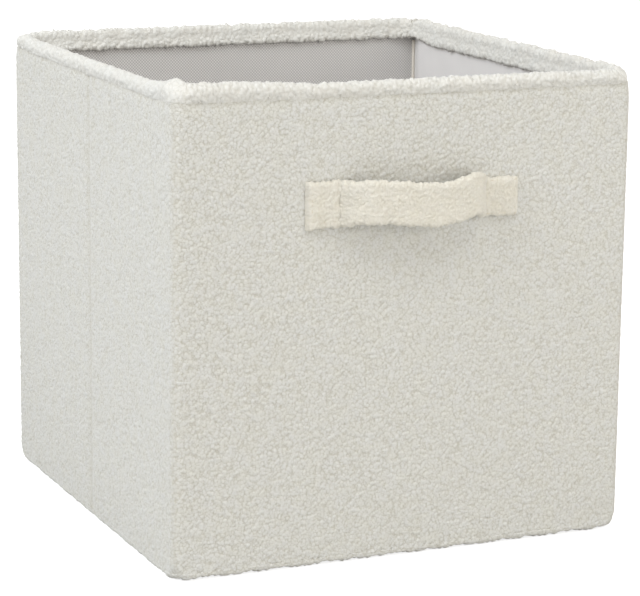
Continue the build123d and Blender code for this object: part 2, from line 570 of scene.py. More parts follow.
@dataclass(frozen=True)
class Finishes:
    """Materials of the bin, built once."""

    boucle: bpy.types.Material
    rim: bpy.types.Material
    strap: bpy.types.Material
    lining: bpy.types.Material
    lining_painted_lighter: bpy.types.Material
    sleeve: bpy.types.Material
    tape: bpy.types.Material
    thread: bpy.types.Material
    board: bpy.types.Material

    @staticmethod
    def build() -> "Finishes":
        """Builds every material.

        Returns:
            The materials.
        """
        return Finishes(
            boucle=PileFinish(
                "boucle_cloth", (0.66, 0.655, 0.625), (0.655, 0.645, 0.595), (0.48, 0.455, 0.385),
                grain=1.9 * MM, bump=0.6, drift=7.0 * MM, pit_shade_share=0.25, grain_pit_shade_share=0.8, flat_nap_shade_share=0.2,
            ).material(),
            rim=PileFinish(
                "rolled_rim", (0.69, 0.685, 0.65), (0.68, 0.665, 0.621), (0.552, 0.527, 0.453),
                grain=2.6 * MM, bump=0.5, pit_shade_share=0.2, grain_pit_shade_share=0.4,
            ).material(),
            strap=PileFinish(
                "strap_plush", (0.73, 0.70, 0.625), (0.72, 0.685, 0.595), (0.60, 0.555, 0.455),
                drift=8.0 * MM, grain=1.5 * MM, pit_shade_share=0.3, grain_pit_shade_share=0.45, flat_nap_shade_share=0.35, bump=0.6,
            ).material(),
            lining=EmbossedFinish(
                "lining_cloth", (0.834, 0.815, 0.795), (0.805, 0.786, 0.766), (0.407, 0.393, 0.383),
                sheen=0.05, bump=0.6, relief=0.15 * MM, drift=60.0 * MM,
            ).material(),
            # Lighter copy of the lining cloth with a flatter emboss: painted light on the inside side walls.
            lining_painted_lighter=EmbossedFinish(
                "lining_cloth_painted_lighter", (0.879, 0.859, 0.84), (0.793, 0.774, 0.759), (0.63, 0.611, 0.597),
                sheen=0.05, bump=0.4, relief=0.12 * MM, drift=22.0 * MM,
            ).material(),
            sleeve=EmbossedFinish(
                "base_cloth", (0.80, 0.78, 0.76), (0.77, 0.75, 0.735), (0.42, 0.405, 0.395),
                sheen=0.05, bump=0.6, relief=0.15 * MM, drift=60.0 * MM,
            ).material(),
            # Pale cream tape, given a paler tone still: partly its own colour, and partly painted light because
            # it sits in the shade of the inside corners.
            tape=Finish(
                "seam_tape", (0.95, 0.91, 0.83), (0.92, 0.87, 0.78), (0.80, 0.74, 0.64),
                grain=0.6 * MM, relief=0.2 * MM,
            ).material(),
            thread=Finish(
                "sewing_thread", (0.70, 0.65, 0.55), (0.68, 0.625, 0.515), (0.61, 0.545, 0.43),
                grain=0.4 * MM, relief=0.1 * MM,
            ).material(),
            board=Finish(
                "grey_board", (0.46, 0.42, 0.36), (0.42, 0.38, 0.32), (0.30, 0.27, 0.22),
                grain=1.2 * MM, sheen=0.0, roughness=0.85, relief=0.15 * MM,
            ).material(),
        )


@dataclass(frozen=True)
class Nap:
    """Sizes of a pile: its curls, and the slow swell under them."""

    curl_size: float
    curl_height: float
    swell_size: float
    swell_height: float


BOUCLE_NAP = Nap(1.9 * MM, 1.0 * MM, 12.0 * MM, 0.25 * MM)
RIM_NAP = Nap(2.6 * MM, 1.5 * MM, 8.0 * MM, 1.8 * MM)
STRAP_NAP = Nap(1.5 * MM, 1.0 * MM, 9.0 * MM, 1.3 * MM)
LINING_NAP = Nap(3.0 * MM, 0.0, 60.0 * MM, 1.0 * MM)
TAPE_NAP = Nap(2.0 * MM, 0.15 * MM, 12.0 * MM, 0.1 * MM)


@dataclass(frozen=True)
class PileTree:
    """Geometry Nodes tree that raises a pile of curls along each point's own lean."""

    tree: bpy.types.NodeTree

    @staticmethod
    def build() -> "PileTree":
        """Builds the tree.

        Returns:
            The tree, ready for use on any piece.
        """
        sizes = [
            Port("Curl Size", "NodeSocketFloat", 3.0 * MM),
            Port("Curl Height", "NodeSocketFloat", 1.5 * MM),
            Port("Swell Size", "NodeSocketFloat", 12.0 * MM),
            Port("Swell Height", "NodeSocketFloat", 0.5 * MM),
            Port("Seed", "NodeSocketFloat", 1.0),
        ]
        graph, start, end = new_geometry_group("raise_pile", sizes)
        place = graph.add("GeometryNodeInputPosition").outputs[0]
        curl = graph.curl(place, start.outputs["Curl Size"], start.outputs["Seed"])
        swell = graph.noise(place, start.outputs["Swell Size"], 1.0, start.outputs["Seed"]).outputs["Fac"]
        lift = graph.math("MULTIPLY", graph.math("SUBTRACT", swell, 0.5), start.outputs["Swell Height"])
        height = graph.math("MULTIPLY_ADD", curl, start.outputs["Curl Height"], lift)
        lean = graph.lean()
        standing = graph.math("MULTIPLY", curl, graph.step(graph.length(lean), 0.0, 0.5))
        rooted = graph.stored(start.outputs["Geometry"], PILE_ROOT, place, "FLOAT_VECTOR")
        stored = graph.stored(rooted, PILE_RISE, standing, "FLOAT")
        inputs = {"Geometry": stored, "Offset": graph.scaled(lean, height)}
        raised = graph.add("GeometryNodeSetPosition", inputs)
        graph.dressed(graph.realized(raised.outputs[0]), start, end)
        return PileTree(graph.tree)

    def raise_on(self, piece: bpy.types.Object, nap: Nap, material: bpy.types.Material) -> bpy.types.Object:
        """Raises the pile of one piece.

        Args:
            piece: The piece.
            nap: Sizes of its pile.
            material: Its material.

        Returns:
            The same piece, with its new mesh.
        """
        values = {
            "Curl Size": nap.curl_size,
            "Curl Height": nap.curl_height,
            "Swell Size": nap.swell_size,
            "Swell Height": nap.swell_height,
            "Material": material,
        }
        return grown(piece, self.tree, values)


def grown(obj: bpy.types.Object, tree: bpy.types.NodeTree, values: dict[str, object]) -> bpy.types.Object:
    """Runs a Geometry Nodes tree on a piece and keeps the result as its plain mesh.

    Args:
        obj: The piece.
        tree: The tree.
        values: The tree's inputs by name.

    Returns:
        The same piece, with its new mesh.
    """
    modifier = obj.modifiers.new("grow", "NODES")
    modifier.node_group = tree
    for item in tree.interface.items_tree:
        if item.item_type == "SOCKET" and item.in_out == "INPUT" and item.name in values:
            modifier[item.identifier] = values[item.name]
    obj.update_tag()
    evaluated = obj.evaluated_get(bpy.context.evaluated_depsgraph_get())
    mesh = bpy.data.meshes.new_from_object(evaluated)
    obj.modifiers.clear()
    obj.data = mesh
    return obj


@dataclass(frozen=True)
class Outline:
    """Rounded plan outline of the bin, walked anticlockwise from the middle of the back."""

    half_x: float
    half_y: float
    corner: float
    foot_corner: float = 16.0 * MM
    foot_height: float = 14.0 * MM

    def legs(self) -> np.ndarray:
        """Lengths of the stretches: straight runs and corner arcs in turn."""
        across = self.half_x - self.corner
        along = 2 * (self.half_y - self.corner)
        arc = self.corner * math.pi / 2
        return np.array([across, arc, along, arc, 2 * across, arc, along, arc, across])

    def marks(self) -> np.ndarray:
        """Distance from the start to the end of each stretch, from 0."""
        return np.concatenate(([0.0], np.cumsum(self.legs())))

    def reach(self, side: Side, y: float) -> float:
        """Finds a point of a side wall.

        Args:
            side: The side.
            y: Its y, which may lie in a corner's arc.

        Returns:
            Its distance along the outline.
        """
        start = self.half_y - self.corner
        marks = self.marks()
        if abs(y) <= start:
            along = marks[2] + start - y
        else:
            turn = self.corner * math.asin(min(1.0, (abs(y) - start) / self.corner))
            along = marks[2] - turn if y > 0 else marks[3] + turn
        return along if side is Side.LEFT else marks[-1] - along

    def between(self, span: "Span") -> tuple[float, float]:
        """Finds where a span starts and stops."""
        start, stop = self.reach(*span.start), self.reach(*span.stop)
        return start, stop if stop > start else stop + self.marks()[-1]

    def stations(self, start: float, stop: float, step: float) -> np.ndarray:
        """Divides a stretch of the outline evenly.

        Args:
            start: Distance along the outline at which it starts.
            stop: Distance at which it stops, past a full turn where it passes the start.
            step: Largest spacing.

        Returns:
            Stations in leg numbers, whole at the end of each leg.
        """
        count = max(2, int(math.ceil((stop - start) / step)) + 1)
        marks = self.marks()
        return np.interp(np.linspace(start, stop, count) % marks[-1], marks, np.arange(len(marks)))

    def at(self, stations: np.ndarray, inset: float = 0.0) -> tuple[np.ndarray, np.ndarray]:
        """Places stations on the outline, or on one set in from it.

        Args:
            stations: Stations in leg numbers.
            inset: How far inwards.

        Returns:
            Points and outward directions in plan.
        """
        corner = max(self.corner - inset, LEAST_CORNER)
        end_x, end_y = self.half_x - inset, self.half_y - inset
        centre_x, centre_y = end_x - corner, end_y - corner
        leg = np.clip(stations.astype(int), 0, 8)
        share = stations - leg
        point = np.zeros((len(stations), 2))
        outward = np.zeros((len(stations), 2))
        straights = {
            0: ((0.0, end_y), (-centre_x, end_y), (0, 1)),
            2: ((-end_x, centre_y), (-end_x, -centre_y), (-1, 0)),
            4: ((-centre_x, -end_y), (centre_x, -end_y), (0, -1)),
            6: ((end_x, -centre_y), (end_x, centre_y), (1, 0)),
            8: ((centre_x, end_y), (0.0, end_y), (0, 1)),
        }
        for number, (first, last, facing) in straights.items():
            here = leg == number
            point[here] = np.array(first) + np.outer(share[here], np.subtract(last, first))
            outward[here] = facing
        arcs = {1: (-1, 1, 90), 3: (-1, -1, 180), 5: (1, -1, 270), 7: (1, 1, 0)}
        for number, (sign_x, sign_y, angle) in arcs.items():
            here = leg == number
            turn = np.radians(angle + 90 * share[here])
            facing = np.stack([np.cos(turn), np.sin(turn)], axis=1)
            point[here] = np.array((sign_x * centre_x, sign_y * centre_y)) + corner * facing
            outward[here] = facing
        return point, outward

    def swept(self, stations: np.ndarray, profile: "Profile") -> tuple[np.ndarray, np.ndarray]:
        """Sweeps a cross-section along the outline.

        Args:
            stations: Stations in leg numbers.
            profile: The cross-section.

        Returns:
            Its points, ring by ring, and the outward direction of each ring in plan.
        """
        rings = np.zeros((len(stations), len(profile.inward), 3))
        for spot, inset in enumerate(profile.inward):
            rings[:, spot, :2] = self.at(stations, inset)[0]
        rings[:, :, 2] = profile.height
        return rings, self.at(stations)[1]

    def whole(self, step: float) -> np.ndarray:
        """Divides the whole outline evenly, with its start again at the end."""
        return self.stations(0.0, self.marks()[-1] * (1 - LEAST_LENGTH), step)

    def foot_radius(self, height: np.ndarray) -> np.ndarray:
        """Gives the corner radius, which grows towards the floor."""
        near_floor = np.clip(1 - height / self.foot_height, 0.0, 1.0)
        return self.corner + (self.foot_corner - self.corner) * near_floor**2

    def rounded(self, rings: np.ndarray, radius: np.ndarray, inward: np.ndarray) -> np.ndarray:
        """Draws points near the corners in to rounder corners.

        Args:
            rings: Points, ring by ring.
            radius: Corner radius at each point of a ring.
            inward: How far each point of a ring lies inwards.

        Returns:
            The points, drawn in.
        """
        centre = np.array((self.half_x, self.half_y)) - radius[:, None]
        past = np.abs(rings[:, :, :2]) - centre
        reach = np.linalg.norm(past, axis=2)
        room = np.maximum(radius - inward, LEAST_CORNER)[None, :]
        outside = (past.min(axis=2) > 0) & (reach > room)
        share = room / np.maximum(reach, LEAST_LENGTH)
        drawn = np.sign(rings[:, :, :2]) * (centre + past * share[:, :, None])
        rings[:, :, :2] = np.where(outside[:, :, None], drawn, rings[:, :, :2])
        return rings


@dataclass(frozen=True)
class Profile:
    """Closed cross-section: depth inwards, height, and how the pile leans out and up at each point."""

    inward: np.ndarray
    height: np.ndarray
    lean_out: np.ndarray
    lean_up: np.ndarray

    @staticmethod
    def shaped(points: list[Spot], weights: np.ndarray) -> "Profile":
        """Makes a profile whose pile stands square to its own line.

        Args:
            points: Depth and height of each point, up the outside, over and down the inside.
            weights: Share of the pile at each point.

        Returns:
            The profile.
        """
        line = np.array(points)
        run = np.roll(line, -1, axis=0) - np.roll(line, 1, axis=0)
        run /= np.maximum(np.linalg.norm(run, axis=1, keepdims=True), LEAST_LENGTH)
        return Profile(line[:, 0], line[:, 1], run[:, 1] * weights, run[:, 0] * weights)

    @staticmethod
    def facing(points: list[Spot], lean_out: np.ndarray) -> "Profile":
        """Makes a profile whose pile stands straight out from the wall."""
        depth, height = np.array(points).T
        return Profile(depth, height, lean_out, np.zeros(len(points)))


def braced(rings: np.ndarray) -> np.ndarray:
    """Adds a ring close to each end, so that the shading of the caps stays at the very edge.

    Args:
        rings: Values, ring by ring.

    Returns:
        The values with the two added rings.
    """
    near = rings[:1] * (1 - BRACE) + rings[1:2] * BRACE
    far = rings[-1:] * (1 - BRACE) + rings[-2:-1] * BRACE
    return np.concatenate([rings[:1], near, rings[1:-1], far, rings[-1:]])


def lofted(
    name: str, rings: np.ndarray, leans: np.ndarray, cloth: np.ndarray, closed: bool = False
) -> bpy.types.Object:
    """Makes a piece from rings of points, with the ends capped.

    Args:
        name: Name of the piece.
        rings: Points, ring by ring.
        leans: Direction and share of the pile at each point.
        cloth: Place of each point on the flat cloth.
        closed: Whether the last ring joins the first.

    Returns:
        The piece, linked to the scene.
    """
    if not closed:
        rings, leans, cloth = braced(rings), braced(leans), braced(cloth)
    count, size = rings.shape[:2]
    ring = np.arange(count if closed else count - 1)[:, None]
    spot = np.arange(size)[None, :]
    after, beside = (ring + 1) % count, (spot + 1) % size
    quads = np.stack(
        [ring * size + spot, after * size + spot, after * size + beside, ring * size + beside], axis=-1
    ).reshape(-1, 4)
    faces = quads.tolist()
    if not closed:
        faces.append(list(range(size)))
        faces.append(list(range(count * size - 1, (count - 1) * size - 1, -1)))
    mesh = bpy.data.meshes.new(name)
    mesh.from_pydata(rings.reshape(-1, 3).tolist(), [], faces)
    smooth = np.ones(len(faces), bool)
    smooth[len(quads):] = False
    mesh.polygons.foreach_set("use_smooth", smooth)
    for label, values in ((PILE_LEAN, leans), (CLOTH_PLACE, cloth)):
        attribute = mesh.attributes.new(label, "FLOAT_VECTOR", "POINT")
        attribute.data.foreach_set("vector", values.astype(np.float32).ravel())
    mesh.update()
    return linked(name, mesh)


def line(first: Spot, last: Spot, step: float) -> list[Spot]:
    """Points along a straight stretch of a profile, without its last point."""
    count = max(1, round(math.dist(first, last) / step))
    return [tuple(np.add(first, np.subtract(last, first) * k / count)) for k in range(count)]


def arc(centre: Spot, radii: Spot, turn: tuple[float, float], step: float) -> list[Spot]:
    """Points along an elliptic stretch of a profile, without its last point.

    Args:
        centre: Its centre.
        radii: Its radius in depth and in height.
        turn: Angle at the start and the end, in degrees, from depth towards height.
        step: Largest spacing.

    Returns:
        The points.
    """
    first, last = np.radians(turn)
    count = max(2, round(abs(last - first) * max(radii) / step))
    angles = first + (last - first) * np.arange(count) / count
    return [(centre[0] + radii[0] * math.cos(a), centre[1] + radii[1] * math.sin(a)) for a in angles]


@dataclass(frozen=True)
class Span:
    """Stretch of the wall that one piece covers, from its start body to its stop body."""

    name: str
    first: str
    second: str
    start: tuple[Side, float]
    stop: tuple[Side, float]

    @property
    def bends(self) -> bool:
        """Whether it crosses a fold line."""
        return self.first != self.second


@dataclass(frozen=True)
class FoldLines:
    """Where the walls fold, and how far the cloth each side of a fold bends."""

    rear: float
    crease: float
    front: float
    corner_reach: float = 7.0 * MM
    crease_reach: float = 8.0 * MM
    crease_bend: tuple[float, float] = (0.003, 0.016)

    @staticmethod
    def from_frame() -> "FoldLines":
        """Reads the fold lines from the frame's joints."""
        names = ("left_rear_fold", "left_crease", "left_front_fold")
        return FoldLines(*(joint_place(name).y for name in names))

    def spans(self) -> list[Span]:
        """Divides the walls at the fold lines, anticlockwise.

        Returns:
            The spans, from the left rear corner round to the back.
        """
        left, right = Side.LEFT, Side.RIGHT
        corner, crease = self.corner_reach, self.crease_reach
        rear_ends = (self.rear + corner, self.rear - corner)
        crease_ends = (self.crease + crease, self.crease - crease)
        front_ends = (self.front + corner, self.front - corner)
        stops = [
            ("back_left_fold", "back_wall", "left_rear_leaf", left, rear_ends[0]),
            ("left_rear", "left_rear_leaf", "left_rear_leaf", left, rear_ends[1]),
            ("left_crease", "left_rear_leaf", "left_front_leaf", left, crease_ends[0]),
            ("left_front", "left_front_leaf", "left_front_leaf", left, crease_ends[1]),
            ("front_left_fold", "left_front_leaf", "front_wall", left, front_ends[0]),
            ("front", "front_wall", "front_wall", left, front_ends[1]),
            ("right_front", "right_front_leaf", "right_front_leaf", right, self.front),
            ("right_crease", "right_front_leaf", "right_rear_leaf", right, crease_ends[1]),
            ("right_rear", "right_rear_leaf", "right_rear_leaf", right, crease_ends[0]),
            ("back_right_fold", "right_rear_leaf", "back_wall", right, rear_ends[1]),
            ("back", "back_wall", "back_wall", right, rear_ends[0]),
        ]
        following = stops[1:] + stops[:1]
        return [Span(*here[:3], here[3:], after[3:]) for here, after in zip(stops, following)]


@dataclass
class WallLayer:
    """One layer of cloth round the walls, made span by span."""

    node: str
    ending: str
    outline: Outline
    folds: FoldLines
    slot: Slot
    material: bpy.types.Material
    pile: PileTree
    nap: Nap
    step: float
    loose: float = 0.0
    corner_calm: float = 0.5
    crease_calm: float = 0.0
    crease_width: float = 4.2 * MM

    def finish_of(self, span: Span) -> bpy.types.Material:
        """Gives the material of one span."""
        return self.material

    def profile(self) -> Profile:
        """Gives the layer's cross-section."""
        raise NotImplementedError

    def shaped(self, rings: np.ndarray, outward: np.ndarray, profile: Profile) -> np.ndarray:
        """Bends the plain sweep to the real cloth's form."""
        return rings

    def creased(self, y: np.ndarray, outward: np.ndarray) -> np.ndarray:
        """Marks the creases of the side walls."""
        on_side = np.abs(outward[:, 0]) > SIDEWAYS
        return np.exp(-(((y - self.folds.crease) / self.crease_width) ** 2)) * on_side

    def flat(self, length: float) -> tuple[float, float]:
        """Gives the size that the piece was cut to."""
        raise NotImplementedError

    def build(self, span: Span) -> bpy.types.Object:
        """Makes and dresses the piece of one span.

        Args:
            span: The span.

        Returns:
            The piece.
        """
        first, last = self.outline.between(span)
        stations = self.outline.stations(first, last, self.step)
        profile = self.profile()
        rings, outward = self.outline.swept(stations, profile)
        leans = np.zeros_like(rings)
        leans[:, :, :2] = outward[:, None, :] * profile.lean_out[None, :, None]
        leans[:, :, 2] = profile.lean_up
        # Calmer pile at the corners and along the creases also comes out darker in the pile material: painted
        # shade in the creases, and a darker band down the corners.
        leans *= 1 - self.corner_calm * np.sqrt(turned(outward))[:, None, None]
        leans *= 1 - self.crease_calm * self.creased(rings[:, 0, 1], outward)[:, None, None]
        cloth = np.zeros_like(rings)
        cloth[:, :, 0] = np.linspace(first, last, len(stations))[:, None]
        cloth[:, :, 1] = profile.height + profile.inward
        rings = self.shaped(rings, outward, profile)
        piece = lofted(f"{span.name}_{self.ending}", rings, leans, cloth)
        self.pile.raise_on(piece, self.nap, self.finish_of(span))
        middle = self.outline.at(stations, float(np.mean(profile.inward)))[0]
        self.dress(piece, span, float(np.linalg.norm(np.diff(middle, axis=0), axis=1).sum()))
        return piece

    def dress(self, piece: bpy.types.Object, span: Span, length: float) -> None:
        """Puts a piece that stays on one body on that body and hides the part that it replaces; a piece that
        crosses a fold only has its place baked in.

        Args:
            piece: The piece.
            span: Its span.
            length: Length of the span.
        """
        self.flat(length)
        if not span.bends:
            placed(piece, span.first, f"{span.name}_{self.node}")
            return
        first, last = span.start[1], span.stop[1]
        if "crease" in span.name:
            first, last = (self.folds.crease + share * (last - first) for share in self.folds.crease_bend)
        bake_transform(piece)
        log.info("made %s", piece.name)


@dataclass
class Covers(WallLayer):
    """Curly cloth on the outside of the walls."""

    corner_calm: float = 0.72
    crease_calm: float = 0.72
    bottom: float = 0.0
    top: float = 0.0
    thick: float = 2.4 * MM
    nap_room: float = 0.8 * MM
    seam_dip: float = 0.25 * MM
    crease_dip: float = 0.9 * MM
    seam_reach: tuple[float, float] = (7.0 * MM, 1.5 * MM)
    nap_reach: tuple[float, float] = (4.5 * MM, 1.5 * MM)
    nap_calm: float = 0.65
    top_corner: float = 7.0 * MM
    corner_fall: float = 18.0 * MM
    back_rows: int = 5

    def profile(self) -> Profile:
        """Dense outside with the pile, and a plain back.

        Returns:
            The profile.
        """
        rows = max(2, round((self.top - self.bottom) / self.step))
        heights = braced(np.linspace(self.bottom, self.top, rows + 1))
        outside = [(self.nap_room, z) for z in heights]
        back = [(self.nap_room + self.thick, z) for z in np.linspace(self.top, self.bottom, self.back_rows)]
        # The pile calms towards the top, under the rim, and the pile material paints it darker there: painted
        # shade in the seam under the rim.
        nap = 1 - self.nap_calm * smooth_step(heights, *(self.top - reach for reach in self.nap_reach))
        return Profile.facing(outside + back, np.concatenate([nap, np.zeros(self.back_rows)]))

    def shaped(self, rings: np.ndarray, outward: np.ndarray, profile: Profile) -> np.ndarray:
        """Draws the cloth in under the rim and along the creases, and rounds its corners at both ends.

        Args:
            rings: Points of the sweep, ring by ring.
            outward: Outward direction of each ring.
            profile: The cross-section.

        Returns:
            The bent points.
        """
        groove = self.creased(rings[:, 0, 1], outward)
        seam = smooth_step(profile.height, *(self.top - reach for reach in self.seam_reach))
        face = profile.lean_out > 0
        dip = (self.crease_dip * groove[:, None] + self.seam_dip * seam[None, :]) * face[None, :]
        rings[:, :, :2] -= outward[:, None, :] * dip[:, :, None]
        near_top = np.clip(1 - (self.top - profile.height) / self.corner_fall, 0.0, 1.0)
        radius = self.outline.foot_radius(profile.height)
        radius = radius + (self.top_corner - self.outline.corner) * near_top**2
        return self.outline.rounded(rings, radius, profile.inward)

    def flat(self, length: float) -> tuple[float, float]:
        """Span by wall height."""
        return length, self.top - self.bottom


@dataclass
class Rims(WallLayer):
    """Rolled binding round the mouth."""

    top: float = 0.0
    thick: float = 0.0
    outer_foot: float = 0.0
    inner_foot: float = 0.0
    nap_room: float = 0.9 * MM
    fold: float = 1.5 * MM
    tuck: float = 1.4 * MM
    tuck_reach: float = 5.5 * MM
    tucked_nap: float = 0.3
    inner_calm: float = 0.62
    ragged: int = 8
    ragged_nap: tuple[float, float] = (0.6, 1.3)
    slot_rise: float = 2.76 * MM
    slot_half: float = 0.4
    slot_skin: float = 1.2 * MM
    inner_share: float = 0.6
    corner_falls: tuple[float, ...] = (1.2 * MM, 0.6 * MM, 2.0 * MM, 0.3 * MM)
    crest_corner: float = 22.0 * MM
    corner_flush: float = 0.7
    inner_slope: float = 1.5 * MM
    scallops: tuple[float, ...] = (1.0 * MM, 0.5 * MM, 0.6 * MM, 2.8 * MM)
    scallop_length: float = 9.0 * MM
    lump_rise: float = 3.8 * MM
    lump_reach: float = 5.5 * MM
    lump_in: tuple[float, float] = (0.82, 1.03)
    lump_groove: float = 0.6 * MM
    groove_width: float = 1.3 * MM
    full_rise: float = 3.2 * MM
    full_reach: float = 62.0 * MM
    back_reach: tuple[float, float] = (40.0 * MM, 14.0 * MM)
    back_rise: float = 1.2 * MM
    back_short: float = 1.4 * MM
    seam_reach: float = 2.0 * MM
    crest_depth: float = 6.0 * MM
    crest_over: float = 2.0 * MM
    foot_under: float = 4.0 * MM
    crease_dip: float = 0.6 * MM

    def profile(self) -> Profile:
        """Outer leg, round crest and inner leg with the pile, and a plain slot inside.

        Returns:
            The profile.
        """
        near, far = self.nap_room, self.thick - self.nap_room
        middle, half = (near + far - self.inner_slope) / 2, (far - near - self.inner_slope) / 2
        shoulder = self.top - self.nap_room - half
        fold = self.fold
        under = self.inner_foot + fold
        heights = np.arange(self.outer_foot, shoulder, self.step)
        tuck = self.tuck * (1 - smooth_step(heights, self.outer_foot, self.outer_foot + self.tuck_reach))
        roll = list(zip(near + tuck, heights))
        roll += arc((middle, shoulder), (half, half), (180, 0), self.step)
        roll += line((far - self.inner_slope, shoulder), (far, under), self.step)
        roll += arc((far - fold, under), (fold, fold), (0, -90), self.step)
        inside = [
            (far - fold, self.inner_foot),
            (far - fold, self.inner_foot + self.slot_rise),
            (middle + self.slot_half * half, shoulder),
            (middle - self.slot_half * half, shoulder),
            (near + self.tuck + self.slot_skin, self.outer_foot),
        ]
        depth = np.array(roll)[:, 0]
        nap = 1 - self.inner_calm * smooth_step(depth, middle + 0.3 * half, far)
        nap[:2] = self.tucked_nap
        nap[-self.ragged:] = np.linspace(*self.ragged_nap, self.ragged)
        weights = np.concatenate([nap, np.zeros(len(inside))])
        return Profile.shaped(roll + inside, weights)

    def shaped(self, rings: np.ndarray, outward: np.ndarray, profile: Profile) -> np.ndarray:
        """Lets the crest fall away at the corners, scallops it, and lumps the joint at the front left corner.

        Args:
            rings: Points of the sweep, ring by ring.
            outward: Outward direction of each ring.
            profile: The cross-section.

        Returns:
            The bent points.
        """
        outline, low, high = self.outline, self.outer_foot, self.top
        corner = turned(outward)[:, None]
        lift, groove = self.jointed(rings)
        raised = smooth_step(rings[:, :, 2], low - self.seam_reach, high)
        at_back = smooth_step(rings[:, :, 1], *(outline.half_y - reach for reach in self.back_reach))
        inner = profile.inward > self.inner_share * self.thick
        foot = inner[None, :] * (1 - smooth_step(rings[:, :, 2], self.inner_foot, high - self.foot_under))
        crest = smooth_step(profile.height, high - self.crest_depth, high - self.nap_room)[None, :]
        rings[:, :, 2] += raised * (lift - self.fallen(rings) * corner - groove)
        rings[:, :, 2] += at_back * (self.back_rise + self.back_short * foot)
        rings[:, :, 2] += crest * self.scalloped(rings[:, 0, :2], outward)[:, None]
        rings[:, :, 1] += groove * (rings[:, :, 1] < self.joint()[1])
        tucked = 1 - smooth_step(profile.height, low, low + self.tuck_reach)
        tucked = tucked * (profile.inward < 0.5 * self.thick)
        flush = self.corner_flush * self.tuck * corner * tucked[None, :]
        rings[:, :, :2] += outward[:, None, :] * flush[:, :, None]
        rolled = smooth_step(profile.height, low, high + self.crest_over) ** 1.5
        rolled = np.where(inner, 1.0, rolled)
        radius = outline.corner + (self.crest_corner - outline.corner) * rolled
        rings = outline.rounded(rings, radius, profile.inward)
        pinch = self.crease_dip * self.creased(rings[:, 0, 1], outward)[:, None] * (profile.lean_out > 0.3)
        rings[:, :, :2] -= outward[:, None, :] * pinch[:, :, None]
        return rings

    def joint(self) -> np.ndarray:
        """Plan place of the binding's joint, at the front left corner."""
        return self.thick * np.array(self.lump_in) - np.array((self.outline.half_x, self.outline.half_y))

    def jointed(self, rings: np.ndarray) -> tuple[np.ndarray, np.ndarray]:
        """Shapes the joint of the binding: a lump, a full stretch on both sides, and a groove beside it.

        Args:
            rings: Points of the sweep, ring by ring.

        Returns:
            How far each point is lifted, and how deep the groove is there.
        """
        joint, x, y = self.joint(), rings[:, :, 0], rings[:, :, 1]
        away = np.linalg.norm(rings[:, :, :2] - joint, axis=2)
        lump = self.lump_rise * np.exp(-((away / self.lump_reach) ** 2))
        along, inside = np.abs(x - joint[0]) / self.full_reach, np.abs(y - joint[1]) / (2 * self.thick)
        full = self.full_rise * np.exp(-(along**4) - inside**2)
        beside = (x - joint[0] - 0.5 * self.lump_reach) / self.groove_width
        return lump + full, self.lump_groove * np.exp(-(beside**2)) * (y < joint[1] + self.thick)

    def fallen(self, rings: np.ndarray) -> np.ndarray:
        """Gives how far the crest falls at the corner nearest to each ring.

        Args:
            rings: Points of the sweep, ring by ring.

        Returns:
            The fall, ring by ring.
        """
        rear_left, front_left, front_right, rear_right = self.corner_falls
        right, rear = rings[:, :1, 0] > 0, rings[:, :1, 1] > 0
        return np.where(right, np.where(rear, rear_right, front_right), np.where(rear, rear_left, front_left))

    def scalloped(self, place: np.ndarray, outward: np.ndarray) -> np.ndarray:
        """Gives the rise and fall of the crest along the rim.

        Args:
            place: Plan place of each ring.
            outward: Outward direction of each ring.

        Returns:
            How far the crest rises at each ring.
        """
        back, left, front, right = self.scallops
        deep = back * np.clip(outward[:, 1], 0, 1) ** 2 + front * np.clip(-outward[:, 1], 0, 1) ** 2
        deep = deep + right * np.clip(outward[:, 0], 0, 1) ** 2 + left * np.clip(-outward[:, 0], 0, 1) ** 2
        along = np.where(np.abs(outward[:, 0]) > 0.71, place[:, 1], place[:, 0]) / self.scallop_length
        wave = uneven_bumps(along, (1.3, 2.3), (0.6, 5.1))
        return deep * (wave - 0.6) * (0.75 + 0.25 * np.sin(1.7 * along))

    def flat(self, length: float) -> tuple[float, float]:
        """Span by the width of the binding, from foot to foot over the crest."""
        return length, 2 * self.top - self.outer_foot - self.inner_foot + (math.pi / 2 - 1) * self.thick


@dataclass
class Linings(WallLayer):
    """Embossed cloth on the inside of the walls."""

    bottom: float = 0.0
    top: float = 0.0
    thick: float = 0.8 * MM
    back_rows: int = 5
    painted_lighter_material: bpy.types.Material | None = None

    def finish_of(self, span: Span) -> bpy.types.Material:
        """Gives the sides their flatter emboss, on a lighter copy of the lining cloth: painted light for the
        shaded inside walls.
        """
        return self.painted_lighter_material if "_leaf" in span.first + span.second else self.material

    def profile(self) -> Profile:
        """Plain back, and a face that can ripple a little.

        Returns:
            The profile.
        """
        rows = max(2, round((self.top - self.bottom) / self.step))
        heights = np.linspace(self.top, self.bottom, rows + 1)
        back = [(0.0, z) for z in np.linspace(self.bottom, self.top, self.back_rows)]
        face = [(self.thick, z) for z in heights]
        return Profile.facing(back + face, np.concatenate([np.zeros(self.back_rows), -np.ones(rows + 1)]))

    def flat(self, length: float) -> tuple[float, float]:
        """Span by wall height."""
        return length, self.top - self.bottom


